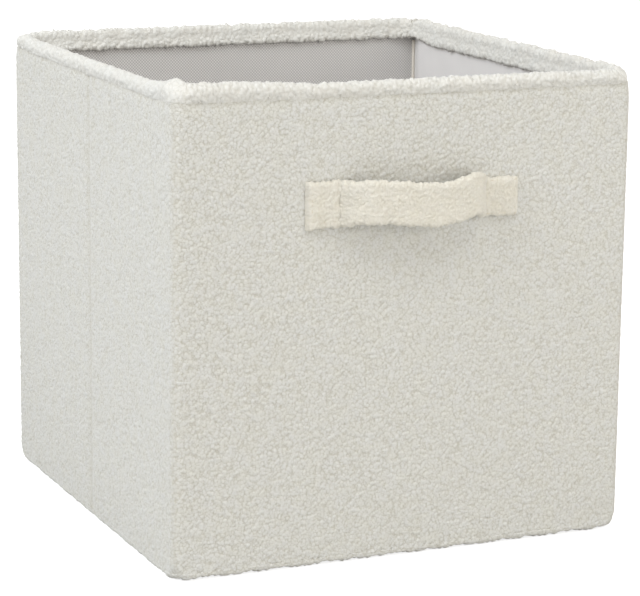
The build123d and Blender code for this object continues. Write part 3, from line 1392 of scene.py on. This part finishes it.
@dataclass(frozen=True)
class CurlTree:
    """Geometry Nodes tree that scatters loose yarn curls over the pile."""

    tree: bpy.types.NodeTree

    @staticmethod
    def build() -> "CurlTree":
        """Builds the tree.

        Returns:
            The tree, ready for use on any piece with a pile.
        """
        sizes = [
            Port("Density", "NodeSocketFloat", 20000.0),
            Port("Radius", "NodeSocketFloat", 0.75 * MM),
            Port("Yarn", "NodeSocketFloat", 0.3 * MM),
            Port("Seed", "NodeSocketInt", 1),
        ]
        graph, start, end = new_geometry_group("loose_curls", sizes)
        piled = graph.math("GREATER_THAN", graph.length(graph.lean()), 0.7)
        spots = graph.add(
            "GeometryNodeDistributePointsOnFaces",
            {
                "Mesh": start.outputs["Geometry"],
                "Density": graph.math("MULTIPLY", piled, start.outputs["Density"]),
                "Seed": start.outputs["Seed"],
            },
        )
        loop = graph.add(
            "GeometryNodeCurveArc",
            {"Resolution": 7, "Radius": start.outputs["Radius"], "Sweep Angle": math.radians(255)},
        )
        inputs = {"Resolution": 4, "Radius": start.outputs["Yarn"]}
        yarn = graph.add("GeometryNodeCurvePrimitiveCircle", inputs)
        curl = graph.add(
            "GeometryNodeCurveToMesh",
            {"Curve": loop.outputs["Curve"], "Profile Curve": yarn.outputs["Curve"], "Fill Caps": True},
        )
        inputs = {"Max": (math.tau,) * 3, "Seed": 3}
        turn = graph.add("FunctionNodeRandomValue", inputs, data_type="FLOAT_VECTOR")
        share = graph.add("FunctionNodeRandomValue", {"Min": 0.6, "Max": 1.15, "Seed": 5}, data_type="FLOAT")
        curls = graph.add(
            "GeometryNodeInstanceOnPoints",
            {
                "Points": spots.outputs["Points"],
                "Instance": curl.outputs[0],
                "Rotation": turn.outputs[0],
                "Scale": share.outputs[1],
            },
        )
        place = graph.add("GeometryNodeInputPosition").outputs[0]
        rooted = graph.stored(graph.realized(curls.outputs[0]), PILE_ROOT, place, "FLOAT_VECTOR")
        graph.dressed(graph.stored(rooted, PILE_RISE, 0.75, "FLOAT"), start, end)
        return CurlTree(graph.tree)

    def scatter(self, piece: bpy.types.Object, density: float, seed: int) -> bpy.types.Object:
        """Makes the loose curls of one piece.

        Args:
            piece: The piece, with its pile raised.
            density: Curls in a square metre.
            seed: Seed of the scatter.

        Returns:
            The curls, as a piece of their own.
        """
        curls = linked(f"{piece.name}_curls", piece.data.copy())
        values = {"Density": density, "Seed": seed, "Material": piece.data.materials[0]}
        return grown(curls, self.tree, values)


@dataclass(frozen=True)
class StitchTree:
    """Geometry Nodes tree that lays stitches along a line."""

    tree: bpy.types.NodeTree

    @staticmethod
    def build() -> "StitchTree":
        """Builds the tree.

        Returns:
            The tree, ready for use on any line of edges.
        """
        sizes = [
            Port("Pitch", "NodeSocketFloat", 3.4 * MM),
            Port("Length", "NodeSocketFloat", 2.8 * MM),
            Port("Thread", "NodeSocketFloat", 0.28 * MM),
        ]
        graph, start, end = new_geometry_group("lay_stitches", sizes)
        path = graph.add("GeometryNodeMeshToCurve", {"Mesh": start.outputs["Geometry"]})
        inputs = {"Curve": path.outputs[0], "Length": start.outputs["Pitch"]}
        spots = graph.add("GeometryNodeResampleCurve", inputs, mode="LENGTH")
        bead = graph.add("GeometryNodeMeshUVSphere", {"Segments": 6, "Rings": 5, "Radius": 1.0})
        tangent = graph.add("GeometryNodeInputTangent").outputs[0]
        along = graph.add("FunctionNodeAlignRotationToVector", {"Vector": tangent}, axis="Z")
        half = graph.math("MULTIPLY", start.outputs["Length"], 0.5)
        thread = start.outputs["Thread"]
        size = graph.add("ShaderNodeCombineXYZ", {"X": thread, "Y": thread, "Z": half})
        laid = graph.add(
            "GeometryNodeInstanceOnPoints",
            {
                "Points": spots.outputs[0],
                "Instance": bead.outputs["Mesh"],
                "Rotation": along.outputs[0],
                "Scale": size.outputs[0],
            },
        )
        graph.dressed(graph.realized(laid.outputs[0]), start, end)
        return StitchTree(graph.tree)

    def sewn(self, name: str, rows: list[np.ndarray], thread: bpy.types.Material) -> bpy.types.Object:
        """Sews rows of stitches.

        Args:
            name: Name of the piece.
            rows: Points of each row.
            thread: Material of the thread.

        Returns:
            The stitches, as one piece.
        """
        points = np.concatenate(rows)
        starts = np.cumsum([0] + [len(row) for row in rows[:-1]])
        ends = [int(first) + k for first, row in zip(starts, rows) for k in range(len(row) - 1)]
        mesh = bpy.data.meshes.new(name)
        mesh.from_pydata(points.tolist(), [(end, end + 1) for end in ends], [])
        obj = grown(linked(name, mesh), self.tree, {"Material": thread})
        obj.data.polygons.foreach_set("use_smooth", np.ones(len(obj.data.polygons), bool))
        return obj


@dataclass(frozen=True)
class Slab:
    """Flat pad of cloth: loops of one outline at falling heights, filled at the top and the bottom."""

    outline: Outline
    centre: tuple[float, float]
    levels: tuple[tuple[float, float], ...]
    step: float = 4.0 * MM

    def build(self, name: str, material: bpy.types.Material) -> bpy.types.Object:
        """Makes the pad.

        Args:
            name: Name of the piece.
            material: Its material.

        Returns:
            The pad.
        """
        stations = self.outline.whole(self.step)[:-1]
        rings = np.zeros((len(self.levels), len(stations), 3))
        for ring, (inset, height) in zip(rings, self.levels):
            ring[:, :2] = self.outline.at(stations, inset)[0] + np.array(self.centre)
            ring[:, 2] = height
        cloth = rings * np.array((1.0, 1.0, 0.0))
        pad = lofted(name, rings, np.zeros_like(rings), cloth)
        pad.data.materials.append(material)
        return pad


@dataclass(frozen=True)
class Bead:
    """Round or oval tape that runs straight from one point to another."""

    start: tuple[float, float, float]
    stop: tuple[float, float, float]
    radii: tuple[float, float]
    spots: int = 16
    step: float = 1.5 * MM

    def build(self, name: str, material: bpy.types.Material, pile: PileTree) -> bpy.types.Object:
        """Makes the tape.

        Args:
            name: Name of the piece.
            material: Its material.
            pile: Tree that roughens it.

        Returns:
            The tape.
        """
        first, last = Vector(self.start), Vector(self.stop)
        along = (last - first).normalized()
        across = Vector((0.0, 1.0, 0.0))
        other = across.cross(along)
        count = max(2, round((last - first).length / self.step) + 1)
        turns = np.linspace(0.0, math.tau, self.spots, endpoint=False)
        facing = np.outer(np.cos(turns), np.array(across)) - np.outer(np.sin(turns), np.array(other))
        oval = np.outer(np.cos(turns) * self.radii[0], np.array(across))
        oval -= np.outer(np.sin(turns) * self.radii[1], np.array(other))
        middle = np.array(first) + np.outer(np.linspace(0.0, 1.0, count), np.array(last - first))
        rings = middle[:, None, :] + oval[None, :, :]
        leans = np.broadcast_to(facing, rings.shape)
        return pile.raise_on(lofted(name, rings, leans, rings), TAPE_NAP, material)


@dataclass(frozen=True)
class Underside:
    """Cloth under the bin: the covers' hem, which turns under the walls, and the plain floor inside it."""

    outline: Outline
    folds: FoldLines
    top: float
    keep: float
    finishes: Finishes
    pile: PileTree
    step: float = 0.98 * MM
    nap_room: float = 0.8 * MM
    turn_in: float = 9.0 * MM
    edge: float = 3.6 * MM
    cloth: float = 0.95 * MM
    clear: float = 0.15 * MM
    hem_back: float = 2.2 * MM
    hem_turn: float = 1.0 * MM
    edge_reach: float = 3.5 * MM
    floor_corner: float = 2.0 * MM
    floor_flat: float = 8.0 * MM
    wave_rise: float = 1.0 * MM
    nub_rise: float = 1.2 * MM
    nub_length: float = 5.5 * MM

    def build(self) -> None:
        """Makes the hem and the floor, both on the back wall."""
        hem = self._hem()
        halves = (half - self.turn_in for half in (self.outline.half_x, self.outline.half_y))
        inside = Outline(*halves, self.floor_corner)
        high, low, flat = self.clear + self.cloth, self.clear + 0.15 * MM, self.floor_flat
        levels = ((flat, high), (0.4 * MM, high), (0.1 * MM, high - 0.3 * MM), (0.1 * MM, low), (flat, low))
        floor = Slab(inside, (0.0, 0.0), levels).build("bottom_cloth", self.finishes.sleeve)
        for piece, slot in ((hem, Slot.BOUCLE), (floor, Slot.LINING)):
            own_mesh(piece)
            placed(piece, "back_wall", "bottom_cover")

    def _hem(self) -> bpy.types.Object:
        """Makes the hem as one closed ring."""
        low, high, near = self.clear, self.clear + self.cloth, self.nap_room
        back, turn = near + self.hem_back, self.hem_turn
        shown = arc((near + self.edge, low + self.edge), (self.edge, self.edge), (270, 180), self.step)
        shown += line((near, low + self.edge), (near, self.top), self.step)
        shown += [(near, self.top - BRACE * self.step), (near, self.top)]
        hidden = [(back, self.top), (back, high + turn), (back + turn, high)]
        hidden += [(self.turn_in, high), (self.turn_in, low)]
        # The pile fades out round the bottom turn, and the pile material paints that darker: painted shade where
        # the hem meets the floor.
        weights = np.concatenate([np.linspace(0.0, 1.0, 4), np.ones(len(shown) - 4), np.zeros(len(hidden))])
        profile = Profile.shaped(shown + hidden, weights)
        runs = [self.outline.between(span) for span in self.folds.spans()]
        stations = np.concatenate([self.outline.stations(*run, self.step)[:-1] for run in runs])
        rings, outward = self.outline.swept(stations, profile)
        rings = self.outline.rounded(rings, self.outline.foot_radius(profile.height), profile.inward)
        run = np.linspace(0.0, self.outline.marks()[-1], len(stations)) / self.nub_length
        notch = 1 - uneven_bumps(run, (1.4, 1.1), (0.5, 4.3))
        wave = 0.5 + 0.5 * np.sin(1.45 * run + 1.2 * np.sin(0.6 * run))
        edge = 1 - smooth_step(profile.height, low, low + self.edge_reach)
        rings[:, :, 2] += np.outer(self.nub_rise * notch + self.wave_rise * wave**2, edge)
        leans = np.zeros_like(rings)
        leans[:, :, :2] = outward[:, None, :] * np.abs(profile.lean_out)[None, :, None]
        hem = lofted("bottom_hem", rings, leans, rings, closed=True)
        return self.pile.raise_on(hem, BOUCLE_NAP, self.finishes.boucle)


@dataclass(frozen=True)
class BasePad:
    """Lift-up base: a board in a cloth sleeve, with a sewn border and a tape along its rear edge."""

    finishes: Finishes
    pile: PileTree
    stitches: StitchTree
    border: float = 7.0 * MM
    corner: float = 8.0 * MM
    flat: float = 6.0 * MM
    clear: float = 0.05 * MM
    groove: float = 0.9 * MM
    groove_depth: float = 0.4 * MM
    edge: tuple[float, float] = (1.3 * MM, 0.35 * MM)
    edge_drop: float = 0.5 * MM
    sew_depth: float = 0.2 * MM
    sew_step: float = 2.0 * MM
    tape_clear: float = 0.1 * MM

    def build(self) -> None:
        """Makes the sleeve, its border stitches and its hinge tape."""
        low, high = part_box("base_sleeve")
        centre = ((low.x + high.x) / 2, (low.y + high.y) / 2)
        outline = Outline((high.x - low.x) / 2, (high.y - low.y) / 2, self.corner)
        top, bottom = high.z - self.clear, low.z + self.clear
        border, (shoulder, side) = self.border, self.edge
        levels = (
            (border + self.flat, top),
            (border + self.groove, top),
            (border, top - self.groove_depth),
            (border - self.groove, top),
            (shoulder, top),
            (side, top - self.edge_drop),
            (0.0, (top + bottom) / 2),
            (side, bottom + self.edge_drop),
            (shoulder, bottom),
            (border + self.flat, bottom),
        )
        sleeve = Slab(outline, centre, levels).build("base_cloth", self.finishes.sleeve)
        placed(sleeve, "base", "base_sleeve")
        stations = outline.whole(self.sew_step)
        row = np.zeros((len(stations), 3))
        row[:, :2] = outline.at(stations, border)[0] + np.array(centre)
        row[:, 2] = top - self.sew_depth
        placed(self.stitches.sewn("base_stitches", [row], self.finishes.thread), "base")
        self._hinge()

    def _hinge(self) -> None:
        """Makes the tape along the rear edge."""
        low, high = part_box("base_hinge")
        middle = (low + high) / 2
        radii = ((high.y - low.y) / 2 - self.tape_clear, (high.z - low.z) / 2 - self.tape_clear)
        ends = [(x, middle.y, middle.z) for x in (low.x, high.x)]
        hinge = Bead(*ends, radii).build("base_tape", self.finishes.sleeve, self.pile)
        placed(hinge, "back_wall", "base_hinge")


@dataclass(frozen=True)
class CornerTapes:
    """Cream beads along the inside corners."""

    finishes: Finishes
    pile: PileTree
    swell: float = 0.2 * MM

    def build(self) -> None:
        """Makes the four beads."""
        for wall in ("back", "front"):
            for side in ("left", "right"):
                node = f"{wall}_{side}_tape"
                low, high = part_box(node)
                middle = (low + high) / 2
                radius = (high.x - low.x) / 2 + self.swell
                ends = [(middle.x, middle.y, z) for z in (low.z, high.z)]
                bead = Bead(*ends, (radius, radius)).build(f"{node}_bead", self.finishes.tape, self.pile)
                placed(bead, f"{wall}_wall", node)


@dataclass(frozen=True)
class Strap:
    """Sewn strap handle: two flat tabs, and a grip that bows out between them."""

    finishes: Finishes
    pile: PileTree
    stitches: StitchTree
    face: float
    middle_x: float
    middle_z: float
    half_length: float = 69.0 * MM
    half_span: float = 47.0 * MM
    right_span: float = 43.5 * MM
    half_knee: float = 36.0 * MM
    right_knee: float = 35.5 * MM
    end_sink: float = 0.7 * MM
    knee_out: float = 11.0 * MM
    bow: float = 15.0 * MM
    width: float = 25.0 * MM
    thick: float = 4.5 * MM
    bends: tuple[float, ...] = (7.0 * MM, 18.0 * MM, 180.0 * MM, 9.0 * MM, 5.0 * MM)
    step: float = 0.75 * MM
    lifts_mm: tuple[Spot, ...] = (
        (-69.0, 1.7), (-45.0, 2.2), (-36.0, 3.7), (-24.0, 3.6), (-8.0, 1.8), (6.0, 0.4),
        (16.0, 0.7), (28.0, 3.4), (34.5, 6.2), (42.0, 0.4), (69.0, 0.2),
    )
    lift_blur: float = 3.0 * MM
    edge_share: float = 0.46
    back_calm: float = 0.75
    right_out: float = 1.5 * MM
    flares: tuple[float, float] = (0.07, -0.1)
    sew_in: float = 3.0 * MM
    sew_half: float = 10.0 * MM
    sew_past: float = 0.5 * MM
    sew_dip: float = 0.3 * MM
    sew_width: float = 1.2 * MM
    sew_margin: float = 3.0 * MM
    sew_proud: float = 0.1 * MM
    end_round: float = 3.0 * MM
    end_thin: float = 0.12
    fray: float = 0.022
    frayed: tuple[float, ...] = (0.55 * MM, 1.3 * MM, 2.9 * MM)

    def corners(self) -> np.ndarray:
        """Corners of the inner face in plan: across, and out from the front."""
        left = ((-self.half_length, 0.0), (-self.half_span, 0.0), (-self.half_knee, self.knee_out))
        knee = (self.right_knee, self.knee_out + self.right_out)
        right = (knee, (self.right_span, 0.0), (self.half_length, 0.0))
        return np.array(left + ((0.0, self.bow),) + right)

    def raised(self, across: np.ndarray) -> np.ndarray:
        """Gives how far the strap rises from level along its length.

        Args:
            across: Distance across from the middle of the strap.

        Returns:
            The rise.
        """
        places, rises = np.array(self.lifts_mm).T * MM
        shifts = np.linspace(-self.lift_blur, self.lift_blur, 7)
        return np.mean([np.interp(across + shift, places, rises) for shift in shifts], axis=0)

    def path(self) -> np.ndarray:
        """Walks the inner face, with its corners rounded.

        Returns:
            Evenly spaced points across and out from the front.
        """
        corners = self.corners()
        points = [corners[0]]
        for before, corner, after, radius in zip(corners, corners[1:], corners[2:], self.bends):
            entry = (before - corner) / np.linalg.norm(before - corner)
            leave = (after - corner) / np.linalg.norm(after - corner)
            half_angle = math.acos(float(np.clip(entry @ leave, -1, 1))) / 2
            bisector = (entry + leave) / np.linalg.norm(entry + leave)
            centre = corner + bisector * radius / math.sin(half_angle)
            reach = radius / math.tan(half_angle)
            first, last = corner + entry * reach - centre, corner + leave * reach - centre
            for share in np.linspace(0.0, 1.0, 12):
                spoke = first * (1 - share) + last * share
                points.append(centre + spoke * radius / np.linalg.norm(spoke))
        points.append(corners[-1])
        rough = np.array(points)
        run = np.concatenate(([0.0], np.cumsum(np.linalg.norm(np.diff(rough, axis=0), axis=1))))
        even = np.linspace(0.0, run[-1], round(run[-1] / self.step) + 1)
        return np.stack([np.interp(even, run, rough[:, axis]) for axis in (0, 1)], axis=1)

    def seams(self) -> list[np.ndarray]:
        """Rows of stitches on both tabs, across and up: a box with a cross in it."""
        rows = []
        for sign, span in ((-1, self.half_span), (1, self.right_span)):
            outer, inner = sign * (self.half_length - self.sew_in), sign * (span + self.sew_past)
            low, high = -self.sew_half, self.sew_half
            box = np.array([(outer, low), (inner, low), (inner, high), (outer, high), (outer, low)])
            rows += [box, np.array([(outer, low), (inner, high)]), np.array([(outer, high), (inner, low)])]
        return rows

    def sunk(self, across: np.ndarray, up: np.ndarray) -> np.ndarray:
        """Gives how deep the stitches pull the plush in.

        Args:
            across: Distance across from the middle of the strap.
            up: Height from its middle.

        Returns:
            The depth.
        """
        here = np.stack([across, up], axis=-1)
        nearest = np.full(across.shape, 1.0)
        for row in self.seams():
            for first, last in zip(row, row[1:]):
                run = last - first
                share = np.clip(((here - first) @ run) / (run @ run), 0.0, 1.0)
                nearest = np.minimum(nearest, np.linalg.norm(here - first - share[..., None] * run, axis=-1))
        return self.sew_dip * np.exp(-((nearest / self.sew_width) ** 2))

    def section(self) -> Profile:
        """Gives the strap's rounded cross-section, up its outside and down its inside.

        Returns:
            The profile, from its outer face and its middle.
        """
        edge = self.thick * self.edge_share
        top, inner, radii = self.width / 2 - edge, self.thick, (edge, edge)
        points = line((0.0, -top), (0.0, top), self.step)
        points += arc((edge, top), radii, (180, 90), self.step)
        points += arc((inner - edge, top), radii, (90, 0), self.step)
        points += line((inner, top), (inner, -top), 2 * self.step)
        points += arc((inner - edge, -top), radii, (0, -90), self.step)
        points += arc((edge, -top), radii, (270, 180), self.step)
        depth = np.array(points)[:, 0]
        # The calmer pile on the back, which faces the wall, comes out darker in the pile material: painted shade
        # behind the strap.
        return Profile.shaped(points, 1.0 - self.back_calm * smooth_step(depth, 0.5 * inner, inner))

    def build(self) -> None:
        """Makes the two ends, the grip and the stitches."""
        path = self.path()
        knees = [int(np.argmin(np.abs(path[:, 0] - across))) for across in (-self.half_knee, self.right_knee)]
        left = self._length("handle_left_plush", path, 0, knees[0])
        grip = self._length("handle_grip_plush", path, knees[0], knees[1])
        right = self._length("handle_right_plush", path, knees[1], len(path) - 1)
        ends = (
            (left, "handle_left_end", -self.half_span, -self.half_knee),
            (right, "handle_right_end", self.right_span, self.right_knee),
        )
        for piece, node, *places in ends:
            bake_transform(piece)
            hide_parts(node)
            log.info("made %s", piece.name)
        placed(grip, "handle", "handle_grip")
        out = self.face - self.thick + self.end_sink + self.sew_proud
        rows = []
        for across, up in (row.T for row in self.seams()):
            height = self.middle_z + up + self.raised(across)
            rows.append(np.stack([self.middle_x + across, np.full(len(across), out), height], axis=1))
        sewn = self.stitches.sewn("handle_stitches", rows, self.finishes.thread)
        placed(sewn, "front_wall")

    def _length(self, name: str, path: np.ndarray, first: int, last: int) -> bpy.types.Object:
        """Makes one length of the strap.

        Args:
            name: Name of the piece.
            path: Inner face of the whole strap.
            first: Index of its first point.
            last: Index of its last point.

        Returns:
            The piece.
        """
        run = np.gradient(path, axis=0)
        run /= np.linalg.norm(run, axis=1, keepdims=True)
        outward = np.stack([-run[:, 1], run[:, 0]], axis=1)[first:last + 1]
        inner = path[first:last + 1]
        section = self.section()
        count, size = len(inner), len(section.inward)
        to_end = self.half_length - np.abs(inner[:, 0])
        close = np.clip(to_end / self.end_round, 0.0, 1.0)
        plump = self.end_thin + (1 - self.end_thin) * np.sqrt(1 - (1 - close) ** 2)
        sewn = smooth_step(np.abs(inner[:, 0]), self.half_knee, self.half_span)
        flare = 1 + np.where(inner[:, 0] < 0, *self.flares) * sewn
        waves = sum(np.sin(inner[:, 0] / length + 2 * length / MM) for length in self.frayed)
        up = section.height[None, :] * (flare * (1 + self.fray * waves))[:, None]
        away = (self.thick - section.inward)[None, :] * plump[:, None]
        across = np.broadcast_to(inner[:, :1], (count, size))
        shown = (section.lean_out > 0.5)[None, :] * (np.abs(across) > self.right_span - self.sew_margin)
        away = away - self.sunk(across, up) * shown
        away = away - self.end_sink * sewn[:, None]
        place = inner[:, None, :] + outward[:, None, :] * away[:, :, None]
        rings = np.zeros((count, size, 3))
        rings[:, :, 0] = self.middle_x + place[:, :, 0]
        rings[:, :, 1] = self.face - place[:, :, 1]
        rings[:, :, 2] = self.middle_z + up + self.raised(across)
        leans = np.zeros_like(rings)
        leans[:, :, 0] = outward[:, None, 0] * section.lean_out[None, :]
        leans[:, :, 1] = -outward[:, None, 1] * section.lean_out[None, :]
        leans[:, :, 2] = section.lean_up
        return self.pile.raise_on(lofted(name, rings, leans, rings), STRAP_NAP, self.finishes.strap)


@dataclass(frozen=True)
class Viewpoint:
    """Camera that sees the bin as it was photographed."""

    azimuth: float = math.radians(-23.894)
    elevation: float = math.radians(12.200)
    roll: float = math.radians(0.612)
    target: tuple[float, float, float] = (0.009066, 0.0, 0.128908)
    distance: float = 1.682122
    lens: float = 146.05
    sensor: float = 36.0

    def build(self) -> None:
        """Makes the camera and gives it to the scene."""
        level = math.cos(self.elevation)
        back = Vector((math.sin(self.azimuth) * level, -math.cos(self.azimuth) * level, math.sin(self.elevation)))
        right = Vector((math.cos(self.azimuth), math.sin(self.azimuth), 0.0))
        up = back.cross(right)
        turned_right = right * math.cos(self.roll) + up * math.sin(self.roll)
        turned_up = up * math.cos(self.roll) - right * math.sin(self.roll)
        place = Vector(self.target) + back * self.distance
        camera = linked("camera", bpy.data.cameras.new("camera"))
        camera.data.lens = self.lens
        camera.data.sensor_width = self.sensor
        turn = Matrix((turned_right, turned_up, back)).transposed().to_4x4()
        camera.matrix_world = Matrix.Translation(place) @ turn
        bpy.context.scene.camera = camera


@dataclass(frozen=True)
class SoftBox:
    """Large soft studio lamp that faces the bin."""

    name: str
    place: tuple[float, float, float]
    size: float
    watts: float
    colour: Colour
    target: tuple[float, float, float] = (0.0, 0.0, 0.15)

    def build(self) -> None:
        """Makes the lamp."""
        lamp = bpy.data.lights.new(self.name, "AREA")
        lamp.size = self.size
        lamp.energy = self.watts
        lamp.color = self.colour
        aim = Vector(self.target) - Vector(self.place)
        turn = aim.to_track_quat("-Z", "Y").to_matrix().to_4x4()
        linked(self.name, lamp).matrix_world = Matrix.Translation(self.place) @ turn


@dataclass(frozen=True)
class Studio:
    """White floor and room, with soft light from the left, the front and above."""

    floor_half: float = 6.0
    floor_tone: float = 0.65
    ambient: float = 0.6
    ambient_tone: Colour = (1.0, 0.985, 0.955)
    floor_glow: float = 0.8
    lamps: tuple[SoftBox, ...] = (
        SoftBox("left_softbox", (-1.9, -0.25, 1.75), 1.8, 45.0, (0.92, 0.955, 1.0)),
        SoftBox("front_softbox", (0.9, -2.4, 0.55), 1.6, 26.0, (1.0, 0.975, 0.925)),
        SoftBox("high_softbox", (0.3, -1.25, 2.2), 0.8, 10.0, (0.97, 0.985, 1.0)),
    )

    def build(self) -> None:
        """Makes the floor, the room's light and the lamps."""
        bpy.context.scene.view_settings.view_transform = "Standard"
        self._floor()
        self._room()
        for lamp in self.lamps:
            lamp.build()

    def _floor(self) -> None:
        """Makes a white floor that keeps the bin's shadow."""
        half = self.floor_half
        mesh = bpy.data.meshes.new("floor")
        corners = [(-half, -half, 0), (half, -half, 0), (half, half, 0), (-half, half, 0)]
        mesh.from_pydata(corners, [], [(0, 1, 2, 3)])
        floor = linked("floor", mesh)
        material = bpy.data.materials.new("white_floor")
        material.use_nodes = True
        graph = Graph(material.node_tree)
        shader = Finish.shader(graph)
        shader.inputs["Base Color"].default_value = (*(self.floor_tone,) * 3, 1.0)
        shader.inputs["Roughness"].default_value = 1.0
        shader.inputs["Specular IOR Level"].default_value = 0.0
        shader.inputs["Emission Color"].default_value = (1.0, 1.0, 1.0, 1.0)
        graph.put(shader, "Emission Strength", graph.math("MULTIPLY", self._seen(graph), self.floor_glow))
        mesh.materials.append(material)

    @staticmethod
    def _seen(graph: Graph) -> Socket:
        """Marks rays that come from the camera or from gloss and glass.

        Args:
            graph: Graph of the material or the world.

        Returns:
            1 on such rays, and 0 on others.
        """
        path = graph.add("ShaderNodeLightPath")
        gloss = graph.math("MAXIMUM", path.outputs["Is Glossy Ray"], path.outputs["Is Transmission Ray"])
        return graph.math("MAXIMUM", path.outputs["Is Camera Ray"], gloss)

    def _room(self) -> None:
        """Makes the even light of the room, seen as white."""
        world = bpy.data.worlds.new("room")
        world.use_nodes = True
        graph = Graph(world.node_tree)
        light = tuple(self.ambient * part for part in self.ambient_tone)
        colour = graph.mixed(self._seen(graph), (*light, 1.0), (1.0, 1.0, 1.0, 1.0))
        graph.put(world.node_tree.nodes["Background"], "Color", colour)
        bpy.context.scene.world = world


def wall_layers(finishes: Finishes, folds: FoldLines, pile: PileTree) -> list[WallLayer]:
    """Sets out the layers of the walls from the frame.

    Args:
        finishes: Materials of the bin.
        folds: Fold lines of the walls.
        pile: Tree that raises the pile.

    Returns:
        The layers, from the outside in.
    """
    cover_low, cover_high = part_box("front_cover")
    rim_low, rim_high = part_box("front_rim")
    lining_low, lining_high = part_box("back_lining")
    side_rim_low, side_rim_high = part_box("left_rear_rim")
    side_lining_low, side_lining_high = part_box("left_rear_lining")
    tray_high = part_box("bottom_cover")[1]
    covers = Covers(
        "cover", "boucle", Outline(cover_high.x, -cover_low.y, 4.5 * MM), folds,
        Slot.BOUCLE, finishes.boucle, pile, BOUCLE_NAP,
        step=0.98 * MM, bottom=(tray_high.z + cover_low.z) / 2, top=cover_high.z + 2.0 * MM,
    )
    rims = Rims(
        "rim", "roll", Outline(rim_high.x, -rim_low.y, 10.5 * MM), folds,
        Slot.RIM, finishes.rim, pile, RIM_NAP,
        step=0.8 * MM, loose=9000.0, top=rim_high.z, thick=side_rim_high.x - side_rim_low.x,
        outer_foot=cover_high.z + 0.4 * MM, inner_foot=rim_low.z,
    )
    linings = Linings(
        "lining", "cloth", Outline(lining_high.x, lining_high.y, 0.05 * MM), folds,
        Slot.LINING, finishes.lining, pile, LINING_NAP,
        step=4.0 * MM, bottom=lining_low.z, top=lining_high.z - 2 * MM,
        thick=side_lining_high.x - side_lining_low.x, painted_lighter_material=finishes.lining_painted_lighter,
    )
    return [covers, rims, linings]


def main() -> None:
    """Builds every piece of the bin, the studio and the camera."""
    logging.basicConfig(level=logging.INFO, format="%(message)s")
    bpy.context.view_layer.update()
    finishes = Finishes.build()
    folds = FoldLines.from_frame()
    pile = PileTree.build()
    curls, stitches = CurlTree.build(), StitchTree.build()
    layers = wall_layers(finishes, folds, pile)
    for layer in layers:
        for seed, span in enumerate(folds.spans()):
            piece = layer.build(span)
            if layer.loose and span.first in ("front_wall", "back_wall") and not span.bends:
                placed(curls.scatter(piece, layer.loose, seed), span.first)
    covers = layers[0]
    tray_low, tray_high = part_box("bottom_cover")
    keep = 1 - FOLDED_TRAVEL / (tray_high.y - tray_low.y)
    Underside(covers.outline, folds, covers.bottom, keep, finishes, pile).build()
    BasePad(finishes, pile, stitches).build()
    CornerTapes(finishes, pile).build()
    grip_low, grip_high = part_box("handle_grip")
    middle = (grip_low + grip_high) / 2
    Strap(finishes, pile, stitches, -covers.outline.half_y, middle.x, middle.z).build()
    for place in BOARDED:
        board = bpy.data.objects[f"{place}_board"]
        board.data.materials.clear()
        board.data.materials.append(finishes.board)
    Studio().build()
    Viewpoint().build()


if __name__ == "__main__":
    main()
